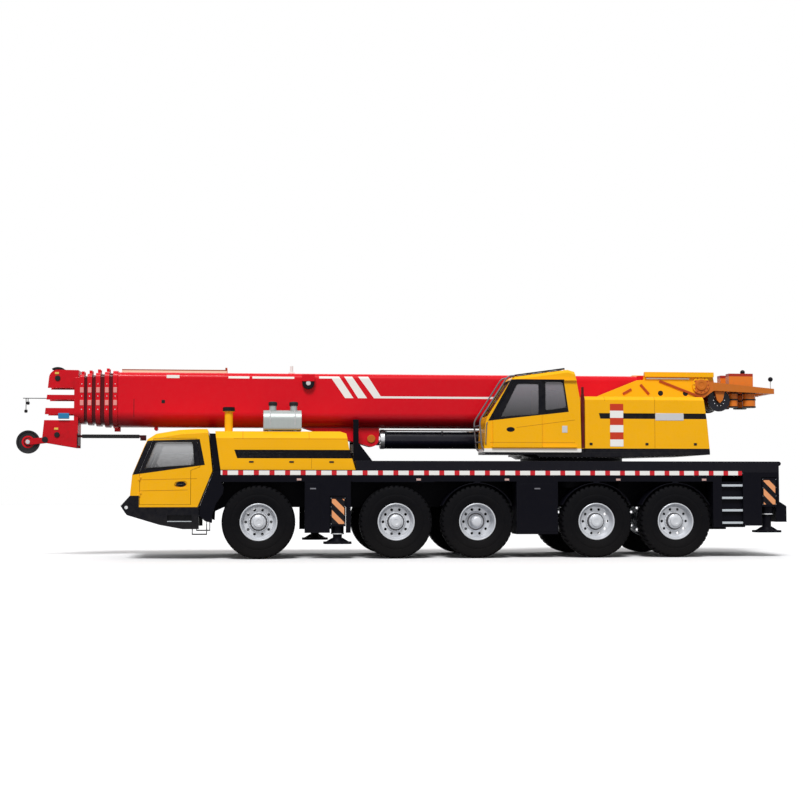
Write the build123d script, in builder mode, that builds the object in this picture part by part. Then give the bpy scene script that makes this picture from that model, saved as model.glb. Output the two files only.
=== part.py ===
from build123d import *
import os

os.makedirs("parts", exist_ok=True)

# Five-axle telescopic mobile crane, in millimetres.
# The front points to -X, the crane's right side to +Y, and the tyres stand on Z = 0.
# X = 0 and Y = 0 are the middle of its box.

# Clearances
running_gap = 0.4
sliding_gap = 0.3
panel_gap = 6

# Tyres and wheels
half_width = 1500
tyre_radius = 735
tyre_width = 430
tyre_sides = 36
tyre_shoulder = 45
tyre_inset = 8
rim_radius = 356
rim_width = 350
rim_wall = 18
dish_radius = 318
dish_wall = 14
spindle_radius = 60
spindle_reach = 95
hub_cap_height = 25

# Wheel kinds: driven, hub radius, hub cap radius, how far the hub and the disc stand outwards
wheel_rows = [
    (True, 150, 105, 165, 45),
    (False, 120, 85, 100, -60),
]

# Axles: number, x, steered, driven
axle_rows = [
    (1, -3000, True, True),
    (2, -250, True, True),
    (3, 1400, False, False),
    (4, 3850, False, True),
    (5, 5500, False, True),
]
axle_tube_radius = 95
axle_housing_radius = 235
kingpin_y = 985
kingpin_radius = 42
knuckle_radius = 78
knuckle_height = 230
fork_ear = 55
strut_y = 740
strut_radius = 62
strut_top = 1120

# Chassis girder and deck
girder_half = 430
girder_low = 1020
girder_top = girder_low + 720
girder_front = -3700
girder_rear = 7640
nose_front = -5380
nose_half = 400
nose_low = 790
nose_top = 985
floor_top = girder_top + 35
floor_front = -3760
deck_front = -1060
deck_rear = 7690
deck_top = girder_top + 220
body_half = half_width - 20
rail_wall = 60
rail_low = girder_top - 195

# Slewing ring
slew_x = 3650
race_radius = 1080
race_top = deck_top + 80
upper_ring_radius = 1050
upper_ring_gap = 0.3
upper_floor_low = race_top + 60
upper_floor_top = upper_floor_low + 40
upper_half = body_half - 80

# Skirts between the wheels
skirt_wall = 80
fender_tip = (-3920, 720)
fender_heel = (-4060, 760)
front_skirt_front = -2085
front_skirt_rear = -1165
front_skirt_low = 520
tank_front = 2200
tank_rear = 3050
tank_low = 480
tank_inner = 880
rear_box_front = 6290
rear_box_rear = 6960
rear_box_low = 610
rear_box_inner = 980
rear_wall_front = 7650
rear_wall_low = 1100
rear_wall_inner = girder_half + 2
rear_panel_low = 640
rear_bumper_low = 715
rear_bumper_high = 1170
rear_bumper_reach = 180
rear_bumper_outer = body_half - 80
ladder_front = 6475
ladder_rear = 6925
ladder_depth = 85
rung_count = 5
rung_low = 700
rung_pitch = 255
guard_radius = 775
guard_wall = 12
guard_inner = 1045

# Outriggers: name, x of the beam's middle, side, bottom of the box, top of the float
outrigger_rows = [
    ("front_left", -1420, -1, 650, 340),
    ("front_right", -1750, 1, 650, 340),
    ("rear_left", 7480, -1, 1030, 545),
    ("rear_right", 7150, 1, 1030, 545),
]
box_width = 316
box_height = 590
box_wall = 18
box_half = body_half - 360
beam_end_width = 300
beam_end_outer = half_width - 10
beam_end_inner = box_half + 14
beam_tail = box_half - 25
jack_y = body_half - 190
jack_guide_radius = 128
jack_guide_drop = 150
jack_radius = 92
float_length = 560
float_width = 400
float_wall = 45

# Carrier cab
cab_half = body_half - 30
cab_wall = 60
cab_floor = 1030
cab_corner = 150
glass_set_back = 24
glass_wall = 9
door_front = -5345
door_rear = -4340
door_low = 1080
belt_height = cab_floor + 670
door_top = belt_height + 700
windshield_top = belt_height + 610
cab_roof = belt_height + 900
bumper_low = 600
bumper_tip = -5712
bumper_nose = (-5590, bumper_low + 280)
bumper_keel = (-4950, bumper_low + 85)
bumper_heel = (-4490, bumper_low)
bumper_rear = -4180
bumper_side = 120
roof_chamfer = 90
headlamp_inner = 900
headlamp_outer = 1280
headlamp_low = 915
headlamp_high = 1045
tread_front = -4800
tread_rear = -4320
tread_height = 745
tread_space = 130
step_low = 486
step_front = -4315
step_rear = -4015
step_bar = 18
seat_y = 840
dashboard_half = 1180
hinge_x = -5342
hinge_y = cab_half + 12.5
hinge_radius = 12
hinge_length = 40
hinge_heights = (1250, 1560)

# Engine hood, muffler and intake
hood_front_top = -3870
hood_top = 2550
hood_rear_top = -1250
hood_half = body_half - 35
hood_trough = 2380
hood_trough_front = -2140
hood_trough_half = 500
hood_wall = 30
hood_chamfer = 140
band_depth = 18
hood_band = [(-3490, 2175), (-3430, 2005), (-1100, 2005), (-1140, 2175)]
intake_x = -3605
intake_y = -1090
intake_rise = 400
muffler_y = -1060
muffler_front = -2910
muffler_rear = -2150
muffler_low = 2570
muffler_high = 2980
muffler_half = 300
muffler_round = 190

# Boom: the base section's half width, bottom, top and wall, and how the sections nest
boom_half = 430
boom_low = 2670
boom_high = 3790
boom_wall = 14
boom_nest_gap = 8
boom_bottom_round = 300
boom_top_round = 120
boom_base_front = -5970
rail_from = -5810
rail_to = -3690
reel_x = -1980
reel_z = 3640
mast_x = reel_x - 340
mast_y = -260
crane_top = 3950
boom_base_rear = 5000
collar_length = 95
collar_lip = 28
section_fronts = [-6140, -6320, -6490, -6650, -6760]
section_tail_step = 120
first_tail = 4880
pad_length = 90
pivot_x = 6350
pivot_z = 3600
pivot_boss = 250
pivot_pin = 90

# Luffing cylinder and its lug
luff_z = 2440
luff_pin_x = -650
luff_base_x = 3900
barrel_radius = 200
barrel_bore = 155
rod_radius = 130
eye_radius = 150
eye_half = 120
base_eye_radius = 185
base_eye_half = 150
base_pin = 80
lug_ear_inner = 150
lug_ear_wall = 70
lug_front = -2080
lug_rear = -480
barrel_front = -420
barrel_end = 3640
gland_length = 80
pipe_y = -165
pipe_rise = 158
pipe_radius = 22
piston_length = 140
rod_tail = 3380

# Slewing frame
plate_inner = 470
plate_wall = 55
post_x = 3595
post_top = 3330
housing_top = 3290
housing_chamfer = 70
housing_band = [(3960, 2830), (3930, 2945), (6230, 2945), (6240, 2830)]
housing_band_depth = 10

# Operator cab on the left of the boom
op_left = 30 - body_half
op_right = op_left + 810
op_wall = 45
op_door_rear = 2730
op_door_low = 2260
op_door_high = 3600
op_door_wall = 36
op_roof_chamfer = 55
op_guard_rise = 25
op_guard_bar = 25
op_guard_inset = 110

# Winch and tail
winch_x = 6785
winch_z = 3285
winch_drum_radius = 170
winch_flange_radius = 235
winch_half = 400
tail_rear = 7960

# Boom head
head_front = -7280
head_rear = -6680
head_half = 290
head_plate = 30
head_gaps = [(3320, 3460), (3050, 3220), (2800, 2920)]
head_gap_length = 600
sheave_x = -7100
upper_sheave_z = 3660
lower_sheave_z = 2500
sheave_radius = 185
sheave_pin = 45
sheave_width = 44
sheave_pitch = 88
sheave_count = 5
rooster_x = -7715
rooster_z = 2360
rooster_radius = 240
rooster_pin = 40


def side_prism(points, y_from, y_to, mode=Mode.ADD):
    # A prism between two y planes, from an outline of (x, z) points
    with BuildSketch(Plane.XZ.offset(-y_from)) as outline:
        with BuildLine():
            Polyline(*points, close=True)
        make_face()
    extrude(outline.sketch, amount=-(y_to - y_from), mode=mode)


def block(x_from, x_to, y_from, y_to, z_from, z_to, mode=Mode.ADD):
    with Locations(((x_from + x_to) / 2, (y_from + y_to) / 2, (z_from + z_to) / 2)):
        Box(abs(x_to - x_from), abs(y_to - y_from), abs(z_to - z_from), mode=mode)


def bar_x(x_from, x_to, y, z, radius, mode=Mode.ADD):
    with Locations(Plane((x_from, y, z), x_dir=(0, 1, 0), z_dir=(1, 0, 0))):
        Cylinder(radius, x_to - x_from, align=(Align.CENTER, Align.CENTER, Align.MIN), mode=mode)


def bar_y(x, y_from, y_to, z, radius, mode=Mode.ADD):
    with Locations(Plane((x, min(y_from, y_to), z), x_dir=(1, 0, 0), z_dir=(0, 1, 0))):
        Cylinder(radius, abs(y_to - y_from), align=(Align.CENTER, Align.CENTER, Align.MIN), mode=mode)


def bar_z(x, y, z_from, z_to, radius, mode=Mode.ADD):
    with Locations((x, y, z_from)):
        Cylinder(radius, z_to - z_from, align=(Align.CENTER, Align.CENTER, Align.MIN), mode=mode)


def both_sides(y_from, y_to):
    # The same stretch of y on the crane's left and right
    return [(-y_to, -y_from), (y_from, y_to)]


def corner_cut(x_from, x_to, y_edge, z_edge, size):
    # Cuts the upper corner along X off at 45 degrees, size down and size inwards
    inwards = size if y_edge < 0 else -size
    with BuildSketch(Plane.YZ.offset(x_from)) as wedge:
        with BuildLine():
            Polyline(
                (y_edge + 1.5 * inwards, z_edge + 0.5 * size),
                (y_edge - 0.5 * inwards, z_edge - 1.5 * size),
                (y_edge - 0.5 * inwards, z_edge + 0.5 * size),
                close=True,
            )
        make_face()
    extrude(wedge.sketch, amount=x_to - x_from, mode=Mode.SUBTRACT)


# Places worked out from the sizes above
wheel_y = half_width - tyre_inset - tyre_width / 2
axle_z = tyre_radius
fender_slope = (fender_heel[1] - fender_tip[1]) / (fender_heel[0] - fender_tip[0])
sill_front = -5400
bumper_slope = (bumper_keel[1] - bumper_nose[1]) / (bumper_keel[0] - bumper_nose[0])
sill_front_low = bumper_nose[1] + (sill_front - bumper_nose[0]) * bumper_slope

# Chassis: girder, nose under the cab, strut brackets and outrigger boxes
with BuildPart() as chassis_frame:
    side_prism(
        [
            (girder_front, girder_low),
            (girder_rear, girder_low),
            (girder_rear, girder_top),
            (girder_front, girder_top),
        ],
        -girder_half,
        girder_half,
    )
    side_prism(
        [
            (nose_front, nose_low),
            (girder_front - 500, nose_low),
            (girder_front, girder_low),
            (girder_front + 10, girder_top - 300),
            (girder_front, girder_top - 200),
            (girder_front - 450, nose_top),
            (nose_front, nose_top),
        ],
        -nose_half,
        nose_half,
    )
    for x in (-5150, -4420):
        for y_from, y_to in both_sides(nose_half - 140, nose_half):
            block(x - 70, x + 70, y_from, y_to, nose_top, cab_floor)
    for number, x, steered, driven in axle_rows:
        for y_from, y_to in both_sides(girder_half - 10, strut_y + 85):
            block(x - 90, x + 90, y_from, y_to, strut_top, strut_top + 170)
    bar_z(slew_x, 0, girder_top - 320, girder_top, race_radius - 60)
    for name, x, side, low, float_top in outrigger_rows:
        block(x - box_width / 2, x + box_width / 2, -box_half, box_half, low, low + box_height)
    for name, x, side, low, float_top in outrigger_rows:
        inner = box_width / 2 - box_wall
        y_open = side * (box_half + 5)
        block(
            x - inner,
            x + inner,
            min(y_open, -side * (box_half - box_wall)),
            max(y_open, -side * (box_half - box_wall)),
            low + box_wall,
            low + box_height - box_wall,
            mode=Mode.SUBTRACT,
        )
    block(girder_rear, girder_rear + 60, -girder_half, girder_half, girder_low - 250, girder_top)
    block(girder_rear + 60, deck_rear + 190, -230, 230, 760, 1090)
chassis_frame.part.label = "chassis_frame"
export_step(chassis_frame.part, "parts/chassis_frame.step")

# Deck: the engine's floor, the deck slab and the fixed race of the slewing ring
with BuildPart() as carrier_deck:
    block(floor_front, deck_front, -body_half, body_half, girder_top, floor_top)
    block(deck_front, deck_rear, -body_half, body_half, girder_top, deck_top)
    bar_y(deck_rear, -body_half, body_half, deck_top - 45, 45)
    bar_z(slew_x, 0, deck_top, race_top, race_radius)
carrier_deck.part.label = "carrier_deck"
export_step(carrier_deck.part, "parts/carrier_deck.step")

# Side rails, skirts, tanks, mudguards, and the bulkhead between the cab and the hood
front_fender = [
    (-4165, cab_floor),
    (-3892, girder_top - 5),
    (floor_front + 5, girder_top - 5),
    (floor_front + 5, rail_low + 10),
    (-3690, 1420),
    (-3710, 1300),
    (-3845, 1100),
    (-3910, 900),
    fender_tip,
    fender_heel,
    (-4165, 860),
]
bulkhead = [
    (-3980, 2500),
    (-3895, girder_top + 10),
    (-3895, rail_low + 20),
    (floor_front - 2, rail_low + 20),
    (floor_front - 2, floor_top),
    (hood_front_top + 5, 2500),
]
with BuildPart() as side_panels:
    for y_from, y_to in both_sides(body_half - rail_wall, body_half):
        block(floor_front, deck_rear, y_from, y_to, rail_low, girder_top)
    for y_from, y_to in both_sides(body_half - skirt_wall, body_half):
        block(front_skirt_front, front_skirt_rear, y_from, y_to, front_skirt_low, rail_low)
    for y_from, y_to in both_sides(tank_inner, body_half):
        block(tank_front, tank_rear, y_from, y_to, tank_low, rail_low)
    for y_from, y_to in both_sides(rear_box_inner, body_half):
        block(rear_box_front, rear_box_rear, y_from, y_to, rear_box_low, rail_low)
    for y_from, y_to in both_sides(body_half - skirt_wall, body_half):
        side_prism(front_fender, y_from, y_to)
    side_prism(bulkhead, -(body_half - skirt_wall + 5), body_half - skirt_wall + 5)
    for y_from, y_to in both_sides(rear_wall_inner, body_half):
        block(rear_wall_front, deck_rear, y_from, y_to, rear_wall_low, girder_top)
    for y_from, y_to in both_sides(body_half - skirt_wall, body_half):
        block(rear_box_rear - 5, girder_rear, y_from, y_to, rear_panel_low, rail_low)
    for y_from, y_to in both_sides(rear_wall_inner, rear_bumper_outer):
        side_prism(
            [
                (rear_wall_front, rear_bumper_low),
                (deck_rear + rear_bumper_reach, rear_bumper_low),
                (deck_rear + rear_bumper_reach, rear_bumper_high - 130),
                (deck_rear + rear_bumper_reach - 120, rear_bumper_high - 55),
                (rear_wall_front, rear_bumper_high),
            ],
            y_from,
            y_to,
        )
    for number, x, steered, driven in axle_rows:
        for y_from, y_to in both_sides(guard_inner, body_half):
            if steered:
                block(x - 880, x + 760, y_from, y_to, rail_low - guard_wall, rail_low)
            else:
                with BuildSketch(Plane.XZ.offset(-y_from)) as guard:
                    with Locations((x, axle_z)):
                        Circle(guard_radius + guard_wall)
                        Circle(guard_radius, mode=Mode.SUBTRACT)
                    with Locations((x, axle_z - guard_radius + 330)):
                        Rectangle(
                            3 * guard_radius,
                            2 * guard_radius,
                            mode=Mode.SUBTRACT,
                        )
                extrude(guard.sketch, amount=-(y_to - y_from))
                block(x - 60, x + 60, y_from, y_to, axle_z + guard_radius, rail_low)
    for name, x, side, low, float_top in outrigger_rows:
        window = beam_end_width / 2 + 12
        block(
            x - window,
            x + window,
            side * (body_half - skirt_wall - 1),
            side * (body_half + 1),
            min(low - jack_guide_drop - 12, rear_panel_low - 1),
            low + box_height + 12,
            mode=Mode.SUBTRACT,
        )
    for side in (-1, 1):
        block(
            ladder_front,
            ladder_rear,
            side * (body_half - ladder_depth),
            side * (body_half + 1),
            rear_box_low + 30,
            girder_top - 1,
            mode=Mode.SUBTRACT,
        )
side_panels.part.label = "side_panels"
export_step(side_panels.part, "parts/side_panels.step")

# Axles with their struts: forks for the steered wheels, spindles for the others
with BuildPart() as axles:
    for number, x, steered, driven in axle_rows:
        tube_end = kingpin_y - knuckle_radius - 35 if steered else wheel_y + spindle_reach
        if steered:
            bar_y(x, -tube_end, tube_end, axle_z, axle_tube_radius)
        else:
            bar_y(x, -(wheel_y - 260), wheel_y - 260, axle_z, axle_tube_radius)
            bar_y(x, -tube_end, tube_end, axle_z, spindle_radius)
        if driven:
            with Locations((x, 0, axle_z)):
                Sphere(axle_housing_radius)
        else:
            block(x - 120, x + 120, -330, 330, axle_z - 120, axle_z + 120)
        for side in (-1, 1):
            bar_z(x, side * strut_y, axle_z, strut_top, strut_radius)
            if steered:
                ear_low = knuckle_height / 2 + 1
                ear_high = ear_low + fork_ear
                fork_y = side * (tube_end - 30)
                block(x - 75, x + 75, fork_y - 25, fork_y + 25, axle_z - ear_high, axle_z + ear_high)
                for z_from in (axle_z - ear_high, axle_z + ear_low):
                    block(
                        x - 75,
                        x + 75,
                        fork_y,
                        side * kingpin_y,
                        z_from,
                        z_from + fork_ear,
                    )
                    bar_z(x, side * kingpin_y, z_from, z_from + fork_ear, 75)
                bar_z(
                    x,
                    side * kingpin_y,
                    axle_z - ear_high - 1,
                    axle_z + ear_high + 1,
                    kingpin_radius + running_gap,
                    mode=Mode.SUBTRACT,
                )
axles.part.label = "axles"
export_step(axles.part, "parts/axles.step")

# Steering knuckles
for number, x, steered, driven in axle_rows:
    if not steered:
        continue
    for side, word in ((-1, "left"), (1, "right")):
        with BuildPart() as knuckle:
            reach = knuckle_height / 2 + fork_ear + 1
            bar_z(x, side * kingpin_y, axle_z - reach, axle_z + reach, kingpin_radius)
            bar_z(
                x,
                side * kingpin_y,
                axle_z - knuckle_height / 2,
                axle_z + knuckle_height / 2,
                knuckle_radius,
            )
            bar_y(x, side * kingpin_y, side * (wheel_y + spindle_reach), axle_z, spindle_radius)
        knuckle.part.label = f"knuckle_{number}_{word}"
        export_step(knuckle.part, f"parts/knuckle_{number}_{word}.step")

# One wheel of each kind, about the origin, its outer face towards -Y
wheel_kinds = {}
for driven, hub_radius, hub_cap_radius, hub_out, disc_out in wheel_rows:
    with BuildPart() as wheel_form:
        with BuildSketch(Plane.XZ.offset(-tyre_width / 2)) as tyre_side:
            RegularPolygon(tyre_radius, tyre_sides)
            Circle(rim_radius + sliding_gap, mode=Mode.SUBTRACT)
        extrude(tyre_side.sketch, amount=tyre_width)
        rounds = wheel_form.edges().filter_by(GeomType.LINE).filter_by(Axis.Y, reverse=True)
        chamfer(rounds, tyre_shoulder)
    with BuildPart() as rim_form:
        with BuildSketch(Plane.XY) as rim_profile:
            with BuildLine():
                Polyline(
                    (rim_radius, rim_width / 2),
                    (rim_radius, -rim_width / 2),
                    (rim_radius - rim_wall, -rim_width / 2),
                    (dish_radius, -disc_out),
                    (hub_radius + 20, -disc_out),
                    (hub_radius, -hub_out),
                    (hub_cap_radius, -hub_out - hub_cap_height),
                    (0, -hub_out - hub_cap_height),
                    (0, -spindle_reach - 5),
                    (spindle_radius + running_gap, -spindle_reach - 5),
                    (spindle_radius + running_gap, -disc_out + 100),
                    (hub_radius, -disc_out + 100),
                    (dish_radius, -disc_out + dish_wall),
                    (rim_radius - rim_wall, rim_width / 2),
                    close=True,
                )
            make_face()
        revolve(rim_profile.sketch, Axis.Y)
    wheel_kinds[driven] = (wheel_form, rim_form)

# Ten wheels: a tyre and a rim on each hub
for number, x, steered, driven in axle_rows:
    for side, word, turn in ((-1, "left", 0), (1, "right", 180)):
        tyre_form, rim_form = wheel_kinds[driven]
        with BuildPart() as wheel:
            with Locations(Location((x, side * wheel_y, axle_z), (0, 0, turn))):
                add(tyre_form.part)
                add(rim_form.part)
        wheel.part.label = f"wheel_{number}_{word}"
        export_step(wheel.part, f"parts/wheel_{number}_{word}.step")

# Outriggers: a beam with its end housing, and the jack with its float
for name, x, side, low, float_top in outrigger_rows:
    beam_half = box_width / 2 - box_wall - sliding_gap
    beam_low = low + box_wall + sliding_gap
    beam_high = low + box_height - box_wall - sliding_gap
    with BuildPart() as beam:
        block(
            x - beam_half,
            x + beam_half,
            -side * beam_tail,
            side * (beam_end_inner + 10),
            beam_low,
            beam_high,
        )
        block(
            x - beam_half + 15,
            x + beam_half - 15,
            -side * (beam_tail + 1),
            side * (beam_end_inner - 10),
            beam_low + 15,
            beam_high - 15,
            mode=Mode.SUBTRACT,
        )
        block(
            x - beam_end_width / 2,
            x + beam_end_width / 2,
            side * beam_end_inner,
            side * beam_end_outer,
            low,
            low + box_height,
        )
        bar_z(x, side * jack_y, low - jack_guide_drop, low + 10, jack_guide_radius)
        bar_z(
            x,
            side * jack_y,
            low - jack_guide_drop - 1,
            low + box_height - 25,
            jack_radius + running_gap,
            mode=Mode.SUBTRACT,
        )
    beam.part.label = f"outrigger_beam_{name}"
    export_step(beam.part, f"parts/outrigger_beam_{name}.step")

    with BuildPart() as jack:
        bar_z(x, side * jack_y, float_top, low + box_height - 40, jack_radius)
        with BuildSketch(Plane.XY.offset(float_top - float_wall)) as float_plan:
            with Locations((x, side * jack_y)):
                RectangleRounded(float_length, float_width, 120)
        extrude(float_plan.sketch, amount=float_wall)
        with Locations((x, side * jack_y, float_top)):
            Cone(jack_radius + 45, jack_radius, 60, align=(Align.CENTER, Align.CENTER, Align.MIN))
    jack.part.label = f"outrigger_jack_{name}"
    export_step(jack.part, f"parts/outrigger_jack_{name}.step")

# Carrier cab: outline seen from the left, door, windows
cab_outline = [
    (-4210, cab_floor),
    (-5540, cab_floor),
    (-5530, cab_floor + 230),
    (-5490, belt_height - 30),
    (-5200, cab_roof - 220),
    (-5030, cab_roof - 110),
    (-4560, cab_roof - 30),
    (-4030, cab_roof),
    (-4005, cab_roof - 60),
    (-3920, belt_height + 50),
]
door_outline = [
    (door_front, door_low),
    (door_rear, door_low),
    (door_rear, belt_height + 60),
    (-4160, belt_height + 130),
    (-4225, door_top),
    (-5075, door_top),
    (door_front, belt_height + 50),
]
door_window = [
    (-5262, belt_height + 95),
    (-4265, belt_height + 165),
    (-4300, door_top - 60),
    (-5040, door_top - 60),
]
windshield_cut = [
    (-5600, belt_height + 45),
    (-5372, belt_height + 45),
    (-5140, windshield_top),
    (-5400, windshield_top),
]
handle_outline = (-4540, 1480, 250, 130)

with BuildPart() as carrier_cab:
    side_prism(cab_outline, -cab_half, cab_half)
    roof_edges = [
        edge
        for edge in carrier_cab.edges()
        if edge.center().Z > cab_roof - 180 and abs(edge.tangent_at(0.5).X) > 0.8
    ]
    chamfer(roof_edges, roof_chamfer)
    side_prism(
        [
            (-5540, cab_floor),
            (-5530, cab_floor + 232),
            (bumper_tip, cab_floor + 30),
            bumper_nose,
            (sill_front, sill_front_low),
            (sill_front, cab_floor),
        ],
        -cab_half,
        cab_half,
    )
    for y_from, y_to in both_sides(cab_half - bumper_side, cab_half):
        side_prism(
            [
                (sill_front - 1, sill_front_low - bumper_slope),
                bumper_keel,
                bumper_heel,
                (bumper_rear, bumper_low),
                (bumper_rear, cab_floor + 1),
                (sill_front - 1, cab_floor + 1),
            ],
            y_from,
            y_to,
        )
    with BuildSketch(Plane.XY.offset(bumper_low - 10)) as cab_plan:
        with Locations((-4700, 0)):
            Rectangle(2100, 2 * cab_half)
        fillet(cab_plan.vertices().group_by(Axis.X)[0], cab_corner)
    extrude(cab_plan.sketch, amount=2000, mode=Mode.INTERSECT)
    with BuildSketch(Plane.XZ.offset(-(cab_half - cab_wall))) as cab_inside:
        with BuildLine():
            Polyline(*cab_outline, close=True)
        make_face()
        offset(amount=-cab_wall, kind=Kind.INTERSECTION, mode=Mode.REPLACE)
    extrude(cab_inside.sketch, amount=2 * (cab_half - cab_wall), mode=Mode.SUBTRACT)
    for side in (-1, 1):
        block(
            tread_front,
            tread_rear,
            side * (cab_half - bumper_side + 20),
            side * (cab_half + 1),
            tread_height,
            tread_height + tread_space,
            mode=Mode.SUBTRACT,
        )
    side_prism(windshield_cut, -(cab_half - 190), cab_half - 190, mode=Mode.SUBTRACT)
    for y_from, y_to in both_sides(cab_half - cab_wall - 1, cab_half + 1):
        side_prism(door_outline, y_from, y_to, mode=Mode.SUBTRACT)
    for side in (-1, 1):
        for z in hinge_heights:
            bar_z(hinge_x, side * hinge_y, z, z + hinge_length, hinge_radius)
            block(
                hinge_x - 40,
                hinge_x - 4,
                side * (cab_half - 1),
                side * (cab_half + 8),
                z,
                z + hinge_length,
            )
carrier_cab.part.label = "carrier_cab"
export_step(carrier_cab.part, "parts/carrier_cab.step")

with BuildPart() as carrier_cab_glass:
    lower, upper = cab_outline[3], cab_outline[4]
    lean = (upper[0] - lower[0]) / (upper[1] - lower[1])
    glass_low = lower[0] + (belt_height + 45 - lower[1]) * lean + glass_set_back
    glass_high = lower[0] + (windshield_top - lower[1]) * lean + glass_set_back
    side_prism(
        [
            (glass_low, belt_height + 45),
            (glass_low + glass_wall, belt_height + 45),
            (glass_high + glass_wall, windshield_top),
            (glass_high, windshield_top),
        ],
        -(cab_half - 190),
        cab_half - 190,
    )
carrier_cab_glass.part.label = "carrier_cab_glass"
export_step(carrier_cab_glass.part, "parts/carrier_cab_glass.step")

for side, word in ((-1, "left"), (1, "right")):
    y_outer = side * cab_half
    y_inner = side * (cab_half - cab_wall)
    with BuildPart() as carrier_door:
        with BuildSketch(Plane.XZ.offset(-min(y_outer, y_inner))) as door_face:
            with BuildLine():
                Polyline(*door_outline, close=True)
            make_face()
            offset(amount=-panel_gap, kind=Kind.INTERSECTION, mode=Mode.REPLACE)
            with BuildLine():
                Polyline(*door_window, close=True)
            make_face(mode=Mode.SUBTRACT)
        extrude(door_face.sketch, amount=-cab_wall)
        with BuildSketch(Plane.XZ.offset(-side * (cab_half - band_depth))) as handle_cup:
            with Locations(handle_outline[:2]):
                SlotOverall(*handle_outline[2:], rotation=6)
        extrude(handle_cup.sketch, amount=-side * (band_depth + 1), mode=Mode.SUBTRACT)
        for z in hinge_heights:
            z_low = z + hinge_length + sliding_gap
            bar_z(hinge_x, side * hinge_y, z_low, z_low + hinge_length, hinge_radius)
            block(
                hinge_x + 4,
                hinge_x + 40,
                side * (cab_half - 1),
                side * (cab_half + 8),
                z_low,
                z_low + hinge_length,
            )
    carrier_door.part.label = f"carrier_door_{word}"
    export_step(carrier_door.part, f"parts/carrier_door_{word}.step")
    with BuildPart() as door_glass:
        side_prism(door_window, side * (cab_half - 30), side * (cab_half - 22))
    door_glass.part.label = f"carrier_door_glass_{word}"
    export_step(door_glass.part, f"parts/carrier_door_glass_{word}.step")

# Cab interior: dashboard and two seats, then the steering wheel
with BuildPart() as cab_interior:
    side_prism(
        [
            (-5470, cab_floor + cab_wall),
            (-5200, cab_floor + cab_wall),
            (-5060, 1560),
            (-5120, 1660),
            (-5425, 1640),
        ],
        -dashboard_half,
        dashboard_half,
    )
    for y in (-seat_y, seat_y):
        block(-4760, -4360, y - 230, y + 230, cab_floor + cab_wall, 1330)
        side_prism(
            [(-4830, 1330), (-4290, 1330), (-4290, 1440), (-4830, 1460)],
            y - 250,
            y + 250,
        )
        side_prism(
            [(-4420, 1440), (-4290, 1440), (-4180, 2120), (-4270, 2130)],
            y - 230,
            y + 230,
        )
cab_interior.part.label = "cab_interior"
export_step(cab_interior.part, "parts/cab_interior.step")

with BuildPart() as steering_wheel:
    with Locations(Location((-4950, -seat_y, 1700), (0, 62, 0))):
        Torus(215, 16)
        Cylinder(28, 36)
        Box(420, 30, 22)
        Box(30, 420, 22)
        with Locations((0, 0, -150)):
            Cylinder(32, 300)
    add(cab_interior.part, mode=Mode.SUBTRACT)
steering_wheel.part.label = "steering_wheel"
export_step(steering_wheel.part, "parts/steering_wheel.step")

# Engine hood with the intake pipe, and the engine under it
with BuildPart() as engine_hood:
    hood_outline = [
        (hood_front_top, hood_top),
        (floor_front + 2, floor_top),
        (deck_front - 5, floor_top),
        (-1195, 2200),
        (hood_rear_top, hood_top - 40),
        (hood_rear_top - 120, hood_top),
    ]
    side_prism(hood_outline, -hood_half, hood_half)
    for side in (-1, 1):
        corner_cut(hood_front_top - 10, deck_front, side * hood_half, hood_top, hood_chamfer)
    with BuildSketch(Plane.XZ.offset(-(hood_half - hood_wall))) as hood_inside:
        with BuildLine():
            Polyline(
                (hood_front_top + 60, hood_top - hood_chamfer - 50),
                (floor_front + 50, floor_top - 1),
                (deck_front - 60, floor_top - 1),
                (hood_rear_top - 40, hood_trough - 50),
                (hood_trough_front - 60, hood_trough - 50),
                (hood_trough_front - 60, hood_top - hood_chamfer - 50),
                close=True,
            )
        make_face()
    extrude(hood_inside.sketch, amount=2 * (hood_half - hood_wall), mode=Mode.SUBTRACT)
    block(
        hood_trough_front,
        deck_front,
        -hood_trough_half,
        hood_trough_half,
        hood_trough,
        hood_top + 1,
        mode=Mode.SUBTRACT,
    )
    for y_from, y_to in both_sides(hood_half - band_depth, hood_half + 1):
        side_prism(hood_band, y_from, y_to, mode=Mode.SUBTRACT)
    bar_z(intake_x, intake_y, hood_top - 20, hood_top + intake_rise, 82)
    with Locations((intake_x, intake_y, hood_top + intake_rise)):
        Cylinder(118, 90, align=(Align.CENTER, Align.CENTER, Align.MIN))
engine_hood.part.label = "engine_hood"
export_step(engine_hood.part, "parts/engine_hood.step")

with BuildPart() as engine_block:
    block(-3300, -1700, -420, 420, floor_top, 2300)
engine_block.part.label = "engine_block"
export_step(engine_block.part, "parts/engine_block.step")

with BuildPart() as exhaust_muffler:
    block(
        muffler_front,
        muffler_rear,
        muffler_y - muffler_half,
        muffler_y + muffler_half,
        muffler_low,
        muffler_high,
    )
    long_edges = exhaust_muffler.edges().filter_by(Axis.X).group_by(Axis.Z)
    fillet(long_edges[-1], muffler_round)
    fillet(exhaust_muffler.edges().filter_by(Axis.X).group_by(Axis.Z)[0], 60)
    for x in (-2780, -2280):
        block(x - 40, x + 40, muffler_y - 200, muffler_y + 200, hood_top, muffler_low + 20)
    for x in (-2720, -2300):
        bar_z(x, muffler_y, muffler_high - 10, muffler_high + 150, 75)
exhaust_muffler.part.label = "exhaust_muffler"
export_step(exhaust_muffler.part, "parts/exhaust_muffler.step")

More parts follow.
